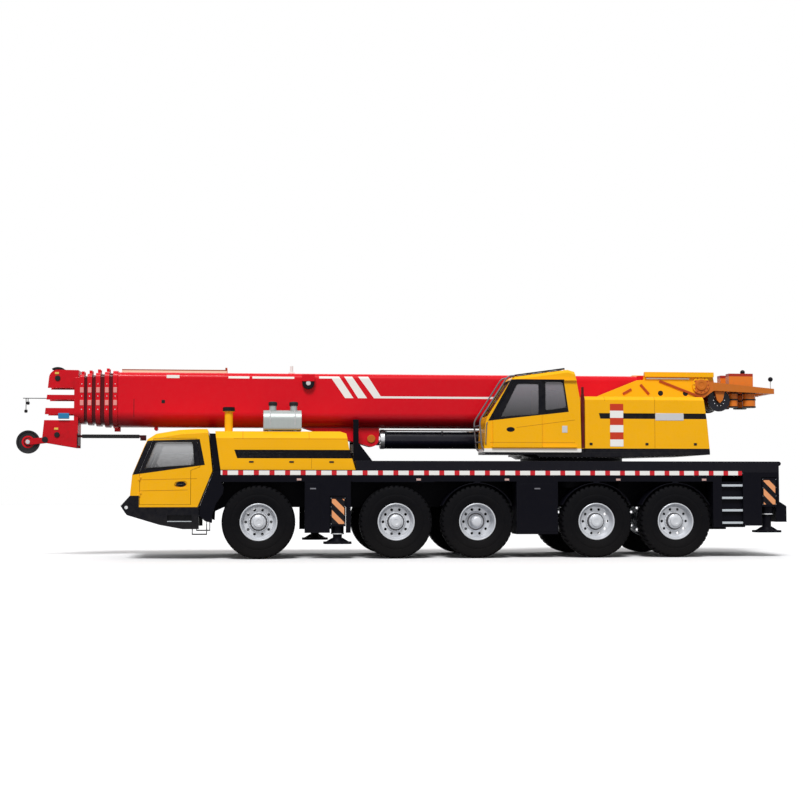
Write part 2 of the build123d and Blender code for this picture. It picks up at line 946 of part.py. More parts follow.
# Boom rest behind the hood
with BuildPart() as boom_rest:
    for y_from, y_to in both_sides(470, 570):
        block(-1050, -940, y_from, y_to, deck_top, 2830)
        side_prism([(-940, deck_top), (-640, deck_top), (-940, 2350)], y_from + 20, y_to - 20)
    block(-1040, -950, -480, 480, 2150, 2330)
boom_rest.part.label = "boom_rest"
export_step(boom_rest.part, "parts/boom_rest.step")

# Ladders: five rungs at the rear on each side, and the steps below the cab doors
with BuildPart() as access_ladders:
    for side in (-1, 1):
        for rung in range(rung_count):
            z = rung_low + rung * rung_pitch
            bar_x(ladder_front, ladder_rear, side * (body_half - 35), z, 15)
        block(
            tread_front,
            tread_rear,
            side * (cab_half - bumper_side + 20),
            side * (cab_half - 5),
            tread_height,
            tread_height + 15,
        )
    for y_from, y_to in both_sides(body_half - skirt_wall, cab_half - 15):
        block(step_front, step_rear, y_from, y_to, step_low, step_low + 25)
        block(step_front, step_front + step_bar, y_from, y_to, step_low + 20, bumper_low)
        side_prism(
            [
                (step_rear - step_bar, step_low + 20),
                (step_rear, step_low + 20),
                (step_rear, fender_tip[1] + (step_rear - fender_tip[0]) * fender_slope),
                (
                    step_rear - step_bar,
                    fender_tip[1] + (step_rear - step_bar - fender_tip[0]) * fender_slope,
                ),
            ],
            y_from,
            y_to,
        )
access_ladders.part.label = "access_ladders"
export_step(access_ladders.part, "parts/access_ladders.step")

# Lamps: headlamps in the bumper, marker lamps on the rails, tail lamps
tip_lean = (bumper_nose[0] - bumper_tip) / (cab_floor + 30 - bumper_nose[1])
lamp_high_x = bumper_tip + (cab_floor + 30 - headlamp_high) * tip_lean
lamp_low_x = bumper_tip + (cab_floor + 30 - headlamp_low) * tip_lean
headlamp_outline = [
    (lamp_high_x, headlamp_high),
    (lamp_low_x, headlamp_low),
    (lamp_low_x - 14, headlamp_low),
    (lamp_high_x - 14, headlamp_high),
]
with BuildPart() as carrier_lamps:
    for side in (-1, 1):
        side_prism(headlamp_outline, side * headlamp_inner, side * headlamp_outer)
        for x in (-2200, 200, 2000, 4300, 6100):
            block(x - 45, x + 45, side * body_half, side * (body_half + 12), rail_low + 20, rail_low + 60)
        block(deck_rear, deck_rear + 25, side * 1050, side * 1400, 1640, 1730)
carrier_lamps.part.label = "carrier_lamps"
export_step(carrier_lamps.part, "parts/carrier_lamps.step")

# Superstructure: rotating ring, floor, side plates with the boom pivot, luffing base and tail
with BuildPart() as slewing_frame:
    block(2540, 6260, -upper_half, upper_half, upper_floor_low, upper_floor_top)
    side_prism(
        [
            (2600, upper_floor_low + 1),
            (2700, race_top + 6),
            (4200, race_top + 6),
            (6200, upper_floor_low + 1),
        ],
        -upper_half,
        upper_half,
    )
    bar_z(slew_x, 0, race_top + upper_ring_gap, upper_floor_low, upper_ring_radius)
    block(post_x - 28, post_x + 28, -upper_half, -upper_half + 60, upper_floor_top - 5, post_top)
    block(post_x - 22, post_x + 22, -upper_half + 5, -upper_half + 50, post_top - 1, post_top + 150)
    block(1560, 2545, -1440, -560, upper_floor_low, upper_floor_top)
    for y_from, y_to in both_sides(plate_inner, plate_inner + plate_wall):
        side_prism(
            [
                (2900, upper_floor_top - 5),
                (3000, 2520),
                (4140, 3360),
                (4960, 3690),
                (5110, 3700),
                (5130, 3870),
                (6600, 3870),
                (6640, 3660),
                (tail_rear, 3530),
                (tail_rear, 3420),
                (6640, 3480),
                (6380, 3300),
                (6280, 2900),
                (6260, upper_floor_top - 5),
            ],
            y_from,
            y_to,
        )
        side_prism(
            [
                (winch_x - 120, 3520),
                (winch_x - 65, winch_z),
                (winch_x, winch_z - 65),
                (winch_x + 65, winch_z),
                (winch_x + 120, 3520),
            ],
            max(y_from, -plate_inner - 5) if y_from < 0 else winch_half + 12,
            -winch_half - 12 if y_from < 0 else plate_inner + 5,
        )
    for y_from, y_to in both_sides(plate_inner + plate_wall, plate_inner + plate_wall + 35):
        bar_y(pivot_x, y_from, y_to, pivot_z, 190)
    bar_y(pivot_x, -plate_inner - 5, plate_inner + 5, pivot_z, pivot_pin)
    bar_y(luff_base_x, -plate_inner - 5, plate_inner + 5, luff_z, base_pin)
    bar_y(winch_x, -winch_half - 20, winch_half + 20, winch_z, 45)
    block(tail_rear - 90, tail_rear, -plate_inner - 5, plate_inner + 5, 3425, 3525)
slewing_frame.part.label = "slewing_frame"
export_step(slewing_frame.part, "parts/slewing_frame.step")

# Operator cab
op_outline = [
    (1540, upper_floor_top),
    (3550, upper_floor_top),
    (3550, 2215),
    (3530, 3200),
    (3420, 3790),
    (3280, 3830),
    (2140, 3670),
    (1600, 2840),
    (1570, 2730),
]
op_door_outline = [
    (1720, op_door_low),
    (op_door_rear, op_door_low),
    (op_door_rear, op_door_high),
    (2190, op_door_high),
    (1760, 2930),
    (1720, 2800),
]
op_door_window = [
    (1870, 2850),
    (2670, 2905),
    (2670, 3540),
    (2215, 3540),
]
op_rear_window = [
    (2800, 2980),
    (3260, 3050),
    (3180, 3590),
    (2800, 3590),
]
op_front_window = [
    (1500, 2890),
    (1700, 2890),
    (2170, 3600),
    (1950, 3600),
]
op_roof_slope = (op_outline[5][1] - op_outline[6][1]) / (op_outline[5][0] - op_outline[6][0])
op_guard_posts = (2215, 2550, 2885, 3220)
op_guard_line = [
    (x, op_outline[6][1] + (x - op_outline[6][0]) * op_roof_slope, rise)
    for x, rise in (
        (op_guard_posts[0], op_guard_rise),
        (op_guard_posts[-1], op_guard_rise),
        (op_guard_posts[-1], op_guard_rise + op_guard_bar),
        (op_guard_posts[0], op_guard_rise + op_guard_bar),
    )
]
with BuildPart() as operator_cab:
    side_prism(op_outline, op_left, op_right)
    roof_edges = [
        edge
        for edge in operator_cab.edges()
        if edge.center().Z > op_outline[6][1] and abs(edge.tangent_at(0.5).X) > 0.9
    ]
    chamfer(roof_edges, op_roof_chamfer)
    with BuildSketch(Plane.XZ.offset(-(op_left + op_wall))) as op_inside:
        with BuildLine():
            Polyline(*op_outline, close=True)
        make_face()
        offset(amount=-op_wall, kind=Kind.INTERSECTION, mode=Mode.REPLACE)
    extrude(op_inside.sketch, amount=-(op_right - op_left - 2 * op_wall), mode=Mode.SUBTRACT)
    with BuildSketch(Plane.XZ.offset(-(op_left - 1))) as op_opening:
        with BuildLine():
            Polyline(*op_door_outline, close=True)
        make_face()
        offset(amount=-25, kind=Kind.INTERSECTION, mode=Mode.REPLACE)
    extrude(op_opening.sketch, amount=-(op_wall + 2), mode=Mode.SUBTRACT)
    side_prism(op_rear_window, op_left - 1, op_left + op_wall + 1, mode=Mode.SUBTRACT)
    side_prism(op_rear_window, op_right - op_wall - 1, op_right + 1, mode=Mode.SUBTRACT)
    side_prism(op_door_window, op_right - op_wall - 1, op_right + 1, mode=Mode.SUBTRACT)
    side_prism(op_front_window, op_left + 90, op_right - 90, mode=Mode.SUBTRACT)
    rail_outer = op_left - panel_gap - op_door_wall - 2
    block(2190, 3450, rail_outer, op_left + 1, op_door_high + sliding_gap, op_door_high + 25)
    block(1700, 3450, rail_outer, op_left + 1, op_door_low - 25, op_door_low - sliding_gap)
    for y in (op_left + op_guard_inset, op_right - op_guard_inset):
        side_prism(
            [(x, roof_z + rise) for x, roof_z, rise in op_guard_line],
            y - op_guard_bar / 2,
            y + op_guard_bar / 2,
        )
    for x in op_guard_posts:
        roof_z = op_outline[6][1] + (x - op_outline[6][0]) * op_roof_slope
        block(
            x - op_guard_bar / 2,
            x + op_guard_bar / 2,
            op_left + op_guard_inset,
            op_right - op_guard_inset,
            roof_z + op_guard_rise,
            roof_z + op_guard_rise + op_guard_bar,
        )
        for y in (op_left + op_guard_inset, op_right - op_guard_inset):
            block(
                x - op_guard_bar / 2,
                x + op_guard_bar / 2,
                y - op_guard_bar / 2,
                y + op_guard_bar / 2,
                roof_z - 8,
                roof_z + op_guard_rise + 5,
            )
operator_cab.part.label = "operator_cab"
export_step(operator_cab.part, "parts/operator_cab.step")

with BuildPart() as operator_cab_glass:
    side_prism(op_rear_window, op_left + 18, op_left + 26)
    side_prism(op_rear_window, op_right - 26, op_right - 18)
    side_prism(op_door_window, op_right - 26, op_right - 18)
    front_lean = (2140 - 1600) / (3670 - 2840)
    side_prism(
        [
            (1600 + (2890 - 2840) * front_lean + 22, 2890),
            (1600 + (2890 - 2840) * front_lean + 32, 2890),
            (1600 + (3600 - 2840) * front_lean + 32, 3600),
            (1600 + (3600 - 2840) * front_lean + 22, 3600),
        ],
        op_left + 90,
        op_right - 90,
    )
operator_cab_glass.part.label = "operator_cab_glass"
export_step(operator_cab_glass.part, "parts/operator_cab_glass.step")

with BuildPart() as operator_door:
    side_prism(op_door_outline, op_left - panel_gap - op_door_wall, op_left - panel_gap)
    side_prism(
        op_door_window,
        op_left - panel_gap - op_door_wall - 1,
        op_left - panel_gap + 1,
        mode=Mode.SUBTRACT,
    )
operator_door.part.label = "operator_door"
export_step(operator_door.part, "parts/operator_door.step")

with BuildPart() as operator_door_glass:
    side_prism(op_door_window, op_left - panel_gap - 22, op_left - panel_gap - 14)
operator_door_glass.part.label = "operator_door_glass"
export_step(operator_door_glass.part, "parts/operator_door_glass.step")

op_seat_y = (op_left + op_right) / 2
with BuildPart() as operator_seat:
    block(2480, 2880, op_seat_y - 180, op_seat_y + 180, upper_floor_top + op_wall, 2520)
    block(2420, 2960, op_seat_y - 220, op_seat_y + 220, 2520, 2640)
    side_prism(
        [(2860, 2640), (2980, 2640), (3080, 3320), (2990, 3330)],
        op_seat_y - 210,
        op_seat_y + 210,
    )
    for y in (op_seat_y - 280, op_seat_y + 280):
        block(2450, 2850, y - 50, y + 50, upper_floor_top + op_wall, 2780)
    block(1780, 1960, op_seat_y - 200, op_seat_y + 200, upper_floor_top + op_wall, 2700)
operator_seat.part.label = "operator_seat"
export_step(operator_seat.part, "parts/operator_seat.step")

# Housings on both sides of the superstructure
with BuildPart() as side_housings:
    side_prism(
        [
            (3640, upper_floor_top),
            (6260, upper_floor_top),
            (6200, 2820),
            (6130, housing_top),
            (3640, housing_top),
        ],
        -upper_half,
        -plate_inner - plate_wall - 5,
    )
    side_prism(
        [
            (2760, upper_floor_top),
            (6260, upper_floor_top),
            (6200, 2820),
            (6130, housing_top),
            (3000, housing_top),
            (2760, housing_top - 240),
        ],
        plate_inner + plate_wall + 5,
        upper_half,
    )
    for side in (-1, 1):
        corner_cut(2700, 6300, side * upper_half, housing_top, housing_chamfer)
    for y_from, y_to in both_sides(upper_half - housing_band_depth, upper_half + 1):
        side_prism(housing_band, y_from, y_to, mode=Mode.SUBTRACT)
side_housings.part.label = "side_housings"
export_step(side_housings.part, "parts/side_housings.step")

# Winch
with BuildPart() as winch_drum:
    bar_y(winch_x, -winch_half, winch_half, winch_z, winch_drum_radius)
    for y_from, y_to in both_sides(winch_half - 20, winch_half):
        bar_y(winch_x, y_from, y_to, winch_z, winch_flange_radius)
    bar_y(winch_x, -winch_half - 1, winch_half + 1, winch_z, 45 + running_gap, mode=Mode.SUBTRACT)
winch_drum.part.label = "winch_drum"
export_step(winch_drum.part, "parts/winch_drum.step")

# Ballast lifting cylinders on the tail
with BuildPart() as ballast_lift:
    block(7000, 7640, -plate_inner, plate_inner, 3480, 3520)
    for side in (-1, 1):
        bar_z(7130, side * 300, 3130, 3481, 95)
        bar_z(7480, side * 300, 3130, 3481, 135)
        block(7010, 7540, side * 180, side * 400, 3520, 3860)
ballast_lift.part.label = "ballast_lift"
export_step(ballast_lift.part, "parts/ballast_lift.step")

# Luffing cylinder
with BuildPart() as luffing_barrel:
    bar_x(barrel_front, luff_base_x - 120, 0, luff_z, barrel_radius)
    bar_y(luff_base_x, -base_eye_half, base_eye_half, luff_z, base_eye_radius)
    bar_x(barrel_front + 60, barrel_end - 400, pipe_y, luff_z + pipe_rise, pipe_radius)
    for x in (barrel_front + 60, barrel_front + 1250, barrel_front + 2450, barrel_end - 440):
        block(x, x + 40, pipe_y - 30, pipe_y + 30, luff_z + 90, luff_z + pipe_rise + 5)
    bar_x(
        barrel_front - 1,
        barrel_front + gland_length + 1,
        0,
        luff_z,
        rod_radius + running_gap,
        mode=Mode.SUBTRACT,
    )
    bar_x(barrel_front + gland_length, barrel_end, 0, luff_z, barrel_bore, mode=Mode.SUBTRACT)
    bar_y(
        luff_base_x,
        -base_eye_half - 1,
        base_eye_half + 1,
        luff_z,
        base_pin + running_gap,
        mode=Mode.SUBTRACT,
    )
luffing_barrel.part.label = "luffing_barrel"
export_step(luffing_barrel.part, "parts/luffing_barrel.step")

with BuildPart() as luffing_rod:
    bar_x(luff_pin_x, rod_tail, 0, luff_z, rod_radius)
    bar_x(rod_tail - piston_length, rod_tail, 0, luff_z, barrel_bore - running_gap)
    bar_y(luff_pin_x, -eye_half, eye_half, luff_z, eye_radius)
    bar_y(luff_pin_x, -lug_ear_inner + 3, lug_ear_inner - 3, luff_z, 70)
luffing_rod.part.label = "luffing_rod"
export_step(luffing_rod.part, "parts/luffing_rod.step")


def section_profile(x, inset, grow=0):
    # The boom's cross section at x, inset from the base section's outside
    shrink = inset - grow
    with BuildSketch(Plane.YZ.offset(x)) as profile:
        with Locations((0, (boom_low + boom_high) / 2)):
            Rectangle(2 * (boom_half - shrink), boom_high - boom_low - 2 * shrink)
        corners = profile.vertices().group_by(Axis.Y)
        fillet(corners[0], max(boom_bottom_round - shrink, 12))
        corners = profile.vertices().group_by(Axis.Y)
        fillet(corners[-1], max(boom_top_round - shrink, 12))
    return profile.sketch


def wear_pads(x_from, x_to, inset_from, inset_to):
    # Flat pads on the top, the sides and the bottom between two insets of the section
    top = (boom_high - inset_to, boom_high - inset_from)
    bottom = (boom_low + inset_from, boom_low + inset_to)
    middle = (boom_low + boom_high) / 2
    for y_from, y_to in both_sides(150, 250):
        block(x_from, x_to, y_from, y_to, *top)
    block(x_from, x_to, -90, 90, *bottom)
    for y_from, y_to in both_sides(boom_half - inset_to, boom_half - inset_from):
        block(x_from, x_to, y_from, y_to, middle - 60, middle + 240)


# Boom: the base section with its foot, the luffing lug and the front collar
with BuildPart() as boom_base:
    extrude(section_profile(boom_base_front, 0), amount=boom_base_rear + 100 - boom_base_front)
    extrude(section_profile(boom_base_front, 0, collar_lip), amount=collar_length)
    for y_from, y_to in both_sides(lug_ear_inner, lug_ear_inner + lug_ear_wall):
        with BuildSketch(Plane.XZ.offset(-y_from)) as ear:
            with Locations((luff_pin_x, luff_z)):
                Circle(eye_radius + 12)
            with Locations(((lug_front + lug_rear) / 2, boom_low + 40)):
                Rectangle(lug_rear - lug_front, 80)
            make_hull()
        extrude(ear.sketch, amount=-(y_to - y_from))
    extrude(
        section_profile(boom_base_front - 1, boom_wall),
        amount=boom_base_rear - boom_base_front + 1,
        mode=Mode.SUBTRACT,
    )
    for y in (-170, 170):
        block(rail_from, rail_to, y - 22, y + 22, boom_high - 2, boom_high + 75)
        block(rail_to - 2, rail_to + 40, y - 30, y + 30, boom_high - 2, boom_high + 120)
    block(reel_x - 130, reel_x + 130, -boom_half - 110, -boom_half + 2, reel_z - 20, reel_z + 120)
    bar_y(reel_x, -boom_half - 90, -boom_half + 2, reel_z - 60, 115)
    bar_z(mast_x, mast_y, boom_high - 2, crane_top, 32)
    block(mast_x - 60, mast_x + 60, mast_y - 40, mast_y + 40, boom_high - 2, boom_high + 30)
    block(-5960, -5840, -60, 60, boom_low - 90, boom_low + 5)
    bar_y(-5110, -110, 110, boom_low - 30, 40)
    with BuildSketch(Plane.XZ.offset(boom_half)) as foot:
        with Locations((pivot_x, pivot_z)):
            Circle(pivot_boss)
        with BuildLine():
            Polyline(
                (boom_base_rear + 5, boom_low + 90),
                (boom_base_rear + 350, boom_low + 90),
                (boom_base_rear + 350, boom_high),
                (boom_base_rear + 5, boom_high),
                close=True,
            )
        make_face()
        make_hull()
    extrude(foot.sketch, amount=-2 * boom_half)
    bar_y(pivot_x, -boom_half - 1, boom_half + 1, pivot_z, pivot_pin + running_gap, mode=Mode.SUBTRACT)
    first_inset = boom_wall + boom_nest_gap
    wear_pads(
        boom_base_front + 2,
        boom_base_front + 2 + pad_length,
        boom_wall - 1,
        first_inset - sliding_gap,
    )
boom_base.part.label = "boom_base"
export_step(boom_base.part, "parts/boom_base.step")

# Five telescopic sections, each with its collar, its wear pads and, on the last, the head
for index, front in enumerate(section_fronts):
    level = index + 1
    inset = level * (boom_wall + boom_nest_gap)
    tail = first_tail - index * section_tail_step
    last = level == len(section_fronts)
    with BuildPart() as section:
        extrude(section_profile(front, inset), amount=tail - front)
        if not last:
            extrude(section_profile(front, inset, collar_lip), amount=collar_length)
            roller_base = boom_high - inset + collar_lip
            for y in (-120, 120):
                block(front + 15, front + 75, y - 16, y + 16, roller_base - 5, roller_base + 85)
            bar_y(front + 45, -136, 136, roller_base + 62, 18)
        extrude(
            section_profile(front - 1, inset + boom_wall),
            amount=tail - front + 2,
            mode=Mode.SUBTRACT,
        )
        if not last:
            wear_pads(
                front + 2,
                front + 2 + pad_length,
                inset + boom_wall - 1,
                inset + boom_wall + boom_nest_gap - sliding_gap,
            )
        wear_pads(tail - pad_length, tail, inset - boom_nest_gap + sliding_gap, inset + 1)
        if last:
            block(front, head_rear, -head_half, head_half, 2290, 3830)
            for y_from, y_to in both_sides(head_half - head_plate, head_half):
                with BuildSketch(Plane.XZ.offset(-y_from)) as head_side:
                    with Locations((sheave_x, upper_sheave_z)):
                        Circle(175)
                    with Locations((sheave_x, lower_sheave_z)):
                        Circle(200)
                    with Locations((-7340, 2400)):
                        Circle(60)
                    with Locations(((front + head_rear) / 2, 3035)):
                        Rectangle(head_rear - front, 1590)
                    make_hull()
                    for z_low, z_high in head_gaps:
                        with Locations((front - 5 - head_gap_length / 2, (z_low + z_high) / 2)):
                            Rectangle(head_gap_length, z_high - z_low, mode=Mode.SUBTRACT)
                extrude(head_side.sketch, amount=-(y_to - y_from))
            for z in (upper_sheave_z, lower_sheave_z):
                bar_y(sheave_x, -head_half, head_half, z, sheave_pin)
            bar_y(-7340, -head_half, head_half, 2400, 45)
            for y_from, y_to in both_sides(32, 57):
                with BuildSketch(Plane.XZ.offset(-y_from)) as rooster_arm:
                    with Locations((-7340, 2400)):
                        Circle(60)
                    with Locations((rooster_x, rooster_z)):
                        Circle(65)
                    make_hull()
                extrude(rooster_arm.sketch, amount=-(y_to - y_from))
            bar_y(rooster_x, -57, 57, rooster_z, rooster_pin)
            block(head_rear - 5, -5300, -240, -190, 2450, 2500)
            block(-5420, -5300, -250, -180, 2390, 2455)
            block(head_rear - 40, head_rear, -260, -150, 2300, 2520)
    section.part.label = f"telescope_{level}"
    export_step(section.part, f"parts/telescope_{level}.step")

# Sheaves in the head, and the single one in front
for word, z in (("upper", upper_sheave_z), ("lower", lower_sheave_z)):
    with BuildPart() as sheaves:
        bar_y(sheave_x, -255, 255, z, 75)
        for place in range(sheave_count):
            y = (place - (sheave_count - 1) / 2) * sheave_pitch
            bar_y(sheave_x, y - sheave_width / 2, y + sheave_width / 2, z, sheave_radius)
        bar_y(sheave_x, -260, 260, z, sheave_pin + running_gap, mode=Mode.SUBTRACT)
    sheaves.part.label = f"{word}_sheaves"
    export_step(sheaves.part, f"parts/{word}_sheaves.step")

with BuildPart() as rooster_sheave:
    bar_y(rooster_x, -22, 22, rooster_z, rooster_radius)
    bar_y(rooster_x, -30, 30, rooster_z, rooster_pin + 25)
    bar_y(rooster_x, -31, 31, rooster_z, rooster_pin + running_gap, mode=Mode.SUBTRACT)
rooster_sheave.part.label = "rooster_sheave"
export_step(rooster_sheave.part, "parts/rooster_sheave.step")
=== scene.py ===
# Mobile crane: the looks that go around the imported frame, in metres.
# Front towards -X, the crane's right towards +Y, up towards +Z.
import math

import bpy
import numpy as np
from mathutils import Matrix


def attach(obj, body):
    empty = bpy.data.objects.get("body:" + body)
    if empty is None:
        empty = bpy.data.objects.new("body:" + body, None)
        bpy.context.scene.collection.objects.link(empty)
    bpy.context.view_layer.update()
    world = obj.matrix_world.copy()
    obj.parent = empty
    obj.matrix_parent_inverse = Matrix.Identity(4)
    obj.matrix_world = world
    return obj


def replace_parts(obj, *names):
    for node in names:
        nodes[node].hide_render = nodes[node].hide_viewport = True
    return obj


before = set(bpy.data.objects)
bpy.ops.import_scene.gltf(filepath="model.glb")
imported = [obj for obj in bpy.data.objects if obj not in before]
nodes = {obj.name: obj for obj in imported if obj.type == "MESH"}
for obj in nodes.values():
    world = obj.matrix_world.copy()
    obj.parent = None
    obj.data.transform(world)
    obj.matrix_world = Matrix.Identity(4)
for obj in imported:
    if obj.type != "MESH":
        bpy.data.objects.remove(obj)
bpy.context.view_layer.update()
print("frame loaded:", len(nodes), "nodes")

bothSides = (-1, 1)
materials, groups = {}, {}


def meshPiece(name, body, finish, surfaces, crease=35):
    # One mesh of several surfaces, each with its points and its arrays of faces with equally many corners
    points, faces, count = [], {}, 0
    for place, *faceSets in surfaces:
        for faceSet in faceSets:
            faces.setdefault(np.shape(faceSet)[1], []).append(np.asarray(faceSet) + count)
        points.append(np.asarray(place, float).reshape(-1, 3))
        count += len(points[-1])
    faceSets = [np.concatenate(sets) for sets in faces.values()]
    corners = np.concatenate([faceSet.ravel() for faceSet in faceSets]).astype(np.int32)
    totals = np.concatenate([np.full(len(faceSet), faceSet.shape[1]) for faceSet in faceSets])
    totals = totals.astype(np.int32)
    mesh = bpy.data.meshes.new(name)
    mesh.vertices.add(count)
    mesh.vertices.foreach_set("co", np.concatenate(points).astype(np.float32).ravel())
    mesh.loops.add(len(corners))
    mesh.loops.foreach_set("vertex_index", corners)
    mesh.polygons.add(len(totals))
    mesh.polygons.foreach_set("loop_start", np.cumsum(totals, dtype=np.int32) - totals)
    mesh.polygons.foreach_set("loop_total", totals)
    mesh.update(calc_edges=True)
    mesh.validate()
    mesh.polygons.foreach_set("use_smooth", np.ones(len(mesh.polygons), bool))
    mesh.set_sharp_from_angle(angle=math.radians(crease))
    mesh.materials.append(materials[finish])
    piece = bpy.data.objects.new(name, mesh)
    bpy.context.scene.collection.objects.link(piece)
    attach(piece, body)
    return piece


def gridFaces(rows, columns, closeRows=False, closeColumns=True):
    # Quads of a rows x columns grid of points, joined up at the ends where it closes
    i = np.arange(rows if closeRows else rows - 1)
    j = np.arange(columns if closeColumns else columns - 1)
    i, j = [index.ravel() for index in np.meshgrid(i, j, indexing="ij")]
    down, right = (i + 1) % rows, (j + 1) % columns
    return np.stack([i * columns + j, i * columns + right, down * columns + right, down * columns + j], 1)


def fullTurn(count):
    return np.linspace(0, 2 * np.pi, count, endpoint=False)


def ringAround(axis, sides):
    # Directions spaced evenly round an axis, and the axis itself
    axis = np.asarray(axis, float) / np.linalg.norm(axis)
    helper = np.array([0, 0, 1.0]) if abs(axis[2]) < 0.9 else np.array([1.0, 0, 0])
    across = np.cross(helper, axis)
    across /= np.linalg.norm(across)
    angle = fullTurn(sides)[:, None]
    return np.cos(angle) * across + np.sin(angle) * np.cross(axis, across), axis


def turned(profile, centre, axis, sides=32, closed=False):
    # A profile of (radius, distance along the axis) carried round the axis:
    # point = centre + radius * (across cos a + up sin a) + distance * axis
    profile = np.asarray(profile, float)
    ring, along = ringAround(axis, sides)
    points = np.asarray(centre) + profile[:, 0, None, None] * ring + profile[:, 1, None, None] * along
    faceSets = [gridFaces(len(profile), sides, closed)]
    if not closed and profile[0, 0] > 1e-6:
        faceSets.append(np.arange(sides)[None, ::-1])
    if not closed and profile[-1, 0] > 1e-6:
        faceSets.append(((len(profile) - 1) * sides + np.arange(sides))[None])
    return points, *faceSets


def insetLoop(outline, distance):
    # Each corner moved inwards along its mitre: corner + distance * (n1 + n2) / (1 + cos of its turn),
    # with the inward normals n1 and n2 of its two edges
    ahead = np.roll(outline, -1, 0) - outline
    ahead /= np.maximum(np.linalg.norm(ahead, axis=1, keepdims=True), 1e-9)
    behind = np.roll(ahead, 1, 0)
    normal = np.stack([-ahead[:, 1], ahead[:, 0]], 1) + np.stack([-behind[:, 1], behind[:, 0]], 1)
    cosine = 1 + (ahead * behind).sum(1)
    return outline + distance * normal / np.maximum(cosine, 0.3)[:, None]


def turnedLeft(outline):
    # The outline with its corners in anticlockwise order
    outline = np.asarray(outline, float)
    x, y = outline.T
    return outline if np.sum(x * np.roll(y, -1) - np.roll(x, -1) * y) >= 0 else outline[::-1]


def plate(outline, low, high, bevel, axis="y"):
    # An outline carried from low to high along y or z, with its rim drawn in by the bevel at both ends
    outline = turnedLeft(outline)
    low, high = min(low, high), max(low, high)
    bevel = min(bevel, (high - low) / 2.01)
    inner = insetLoop(outline, bevel)
    rings = ((inner, low), (outline, low + bevel), (outline, high - bevel), (inner, high))
    points = np.concatenate([np.insert(ring, "xyz".index(axis), level, 1) for ring, level in rings])
    count = len(outline)
    faces = gridFaces(4, count)
    ends = np.stack([np.arange(count)[::-1], 3 * count + np.arange(count)])
    if axis == "y":
        faces, ends = faces[:, ::-1], ends[:, ::-1]
    return points, faces, ends


def rectangle(x0, x1, z0, z1):
    return [(x0, z0), (x1, z0), (x1, z1), (x0, z1)]


def slab(low, high, bevel):
    # A block with drawn-in rims: its outline in x and y carried upwards
    return plate(rectangle(low[0], high[0], low[1], high[1]), low[2], high[2], bevel, "z")


def roundedOutline(x0, x1, z0, z1, radius, steps=3):
    # A rectangle whose corners are quarter circles
    corners = rectangle(x0 + radius, x1 - radius, z0 + radius, z1 - radius)
    parts = []
    for turn, (x, z) in enumerate((corners[2], corners[3], corners[0], corners[1])):
        angle = np.linspace(0, np.pi / 2, steps) + turn * np.pi / 2
        parts.append(np.stack([x + radius * np.cos(angle), z + radius * np.sin(angle)], 1))
    return np.concatenate(parts)


def widened(xa, za, xb, zb, width):
    # The outline of a line from (xa, za) to (xb, zb), half the width on both sides of it
    share = 0.5 * width / math.hypot(xb - xa, zb - za)
    dx, dz = share * (zb - za), -share * (xb - xa)
    return [(xa + dx, za + dz), (xb + dx, zb + dz), (xb - dx, zb - dz), (xa - dx, za - dz)]


def bentPath(corners, radius, closed):
    # Straight runs with rounded corners: each corner c is the quadratic curve
    # (1-t)^2 a + 2t(1-t) c + t^2 b between points a and b, a radius before and behind it
    corners = np.asarray(corners, float)
    t = np.linspace(0, 1, 5)[:, None]
    before, after = np.roll(corners, 1, 0), np.roll(corners, -1, 0)
    parts = []
    for place, corner in enumerate(corners):
        if not closed and place in (0, len(corners) - 1):
            parts.append(corner[None])
            continue
        back, ahead = before[place] - corner, after[place] - corner
        a = corner + back * min(radius / np.linalg.norm(back), 0.49)
        b = corner + ahead * min(radius / np.linalg.norm(ahead), 0.49)
        parts.append((1 - t)**2 * a + 2 * t * (1 - t) * corner + t**2 * b)
    return np.concatenate(parts)


def tube(path, radius, sides, closed):
    # A circle carried along a path, with across and up at right angles to it at each point:
    # point = path + radius * (across cos a + up sin a)
    ahead = np.roll(path, -1, 0) - np.roll(path, 1, 0) if closed else np.gradient(path, axis=0)
    ahead /= np.linalg.norm(ahead, axis=1, keepdims=True)
    helper = np.eye(3)[np.argmin(np.abs(ahead).max(0))]
    across = np.cross(ahead, helper)
    across /= np.linalg.norm(across, axis=1, keepdims=True)
    up = np.cross(ahead, across)
    angle = fullTurn(sides)[:, None]
    points = path[:, None] + radius * (np.cos(angle) * across[:, None] + np.sin(angle) * up[:, None])
    faceSets = [gridFaces(len(path), sides, closed)[:, ::-1]]
    if not closed:
        faceSets += [np.arange(sides)[None], ((len(path) - 1) * sides + np.arange(sides))[None, ::-1]]
    return points, *faceSets


def boltHeads(centres, axis, radius, height):
    # Six-sided heads with a rounded-off top, one at each centre
    ring, along = ringAround(axis, 6)
    rows = np.stack([
        radius * ring, radius * ring + height * 0.8 * along, radius * 0.82 * ring + height * along])
    centres = np.asarray(centres, float).reshape(-1, 3)
    offsets = 18 * np.arange(len(centres))[:, None, None]
    caps = (12 + np.arange(6)[None] + offsets).reshape(-1, 6)
    return centres[:, None, None] + rows, (gridFaces(3, 6) + offsets).reshape(-1, 4), caps


def fill(tree, node, values):
    # Sockets by name or number: another node's socket is linked, and a number, vector or colour is set
    for key, value in values.items():
        socket = node.inputs[key]
        if isinstance(value, bpy.types.NodeSocket):
            tree.links.new(value, socket)
        else:
            socket.default_value = (*value, 1) if socket.type == "RGBA" else value


def nodeIn(tree, kind, *values, settings={}, **named):
    # A node with its properties set; values go into its sockets in their order, named ones by name
    node = tree.nodes.new("ShaderNode" + kind)
    for key, value in settings.items():
        setattr(node, key, value)
    fill(tree, node, dict(enumerate(values)) | named)
    return node.outputs


def calc(tree, operation, *values, clamp=False):
    return nodeIn(tree, "Math", *values, settings={"operation": operation, "use_clamp": clamp})[0]


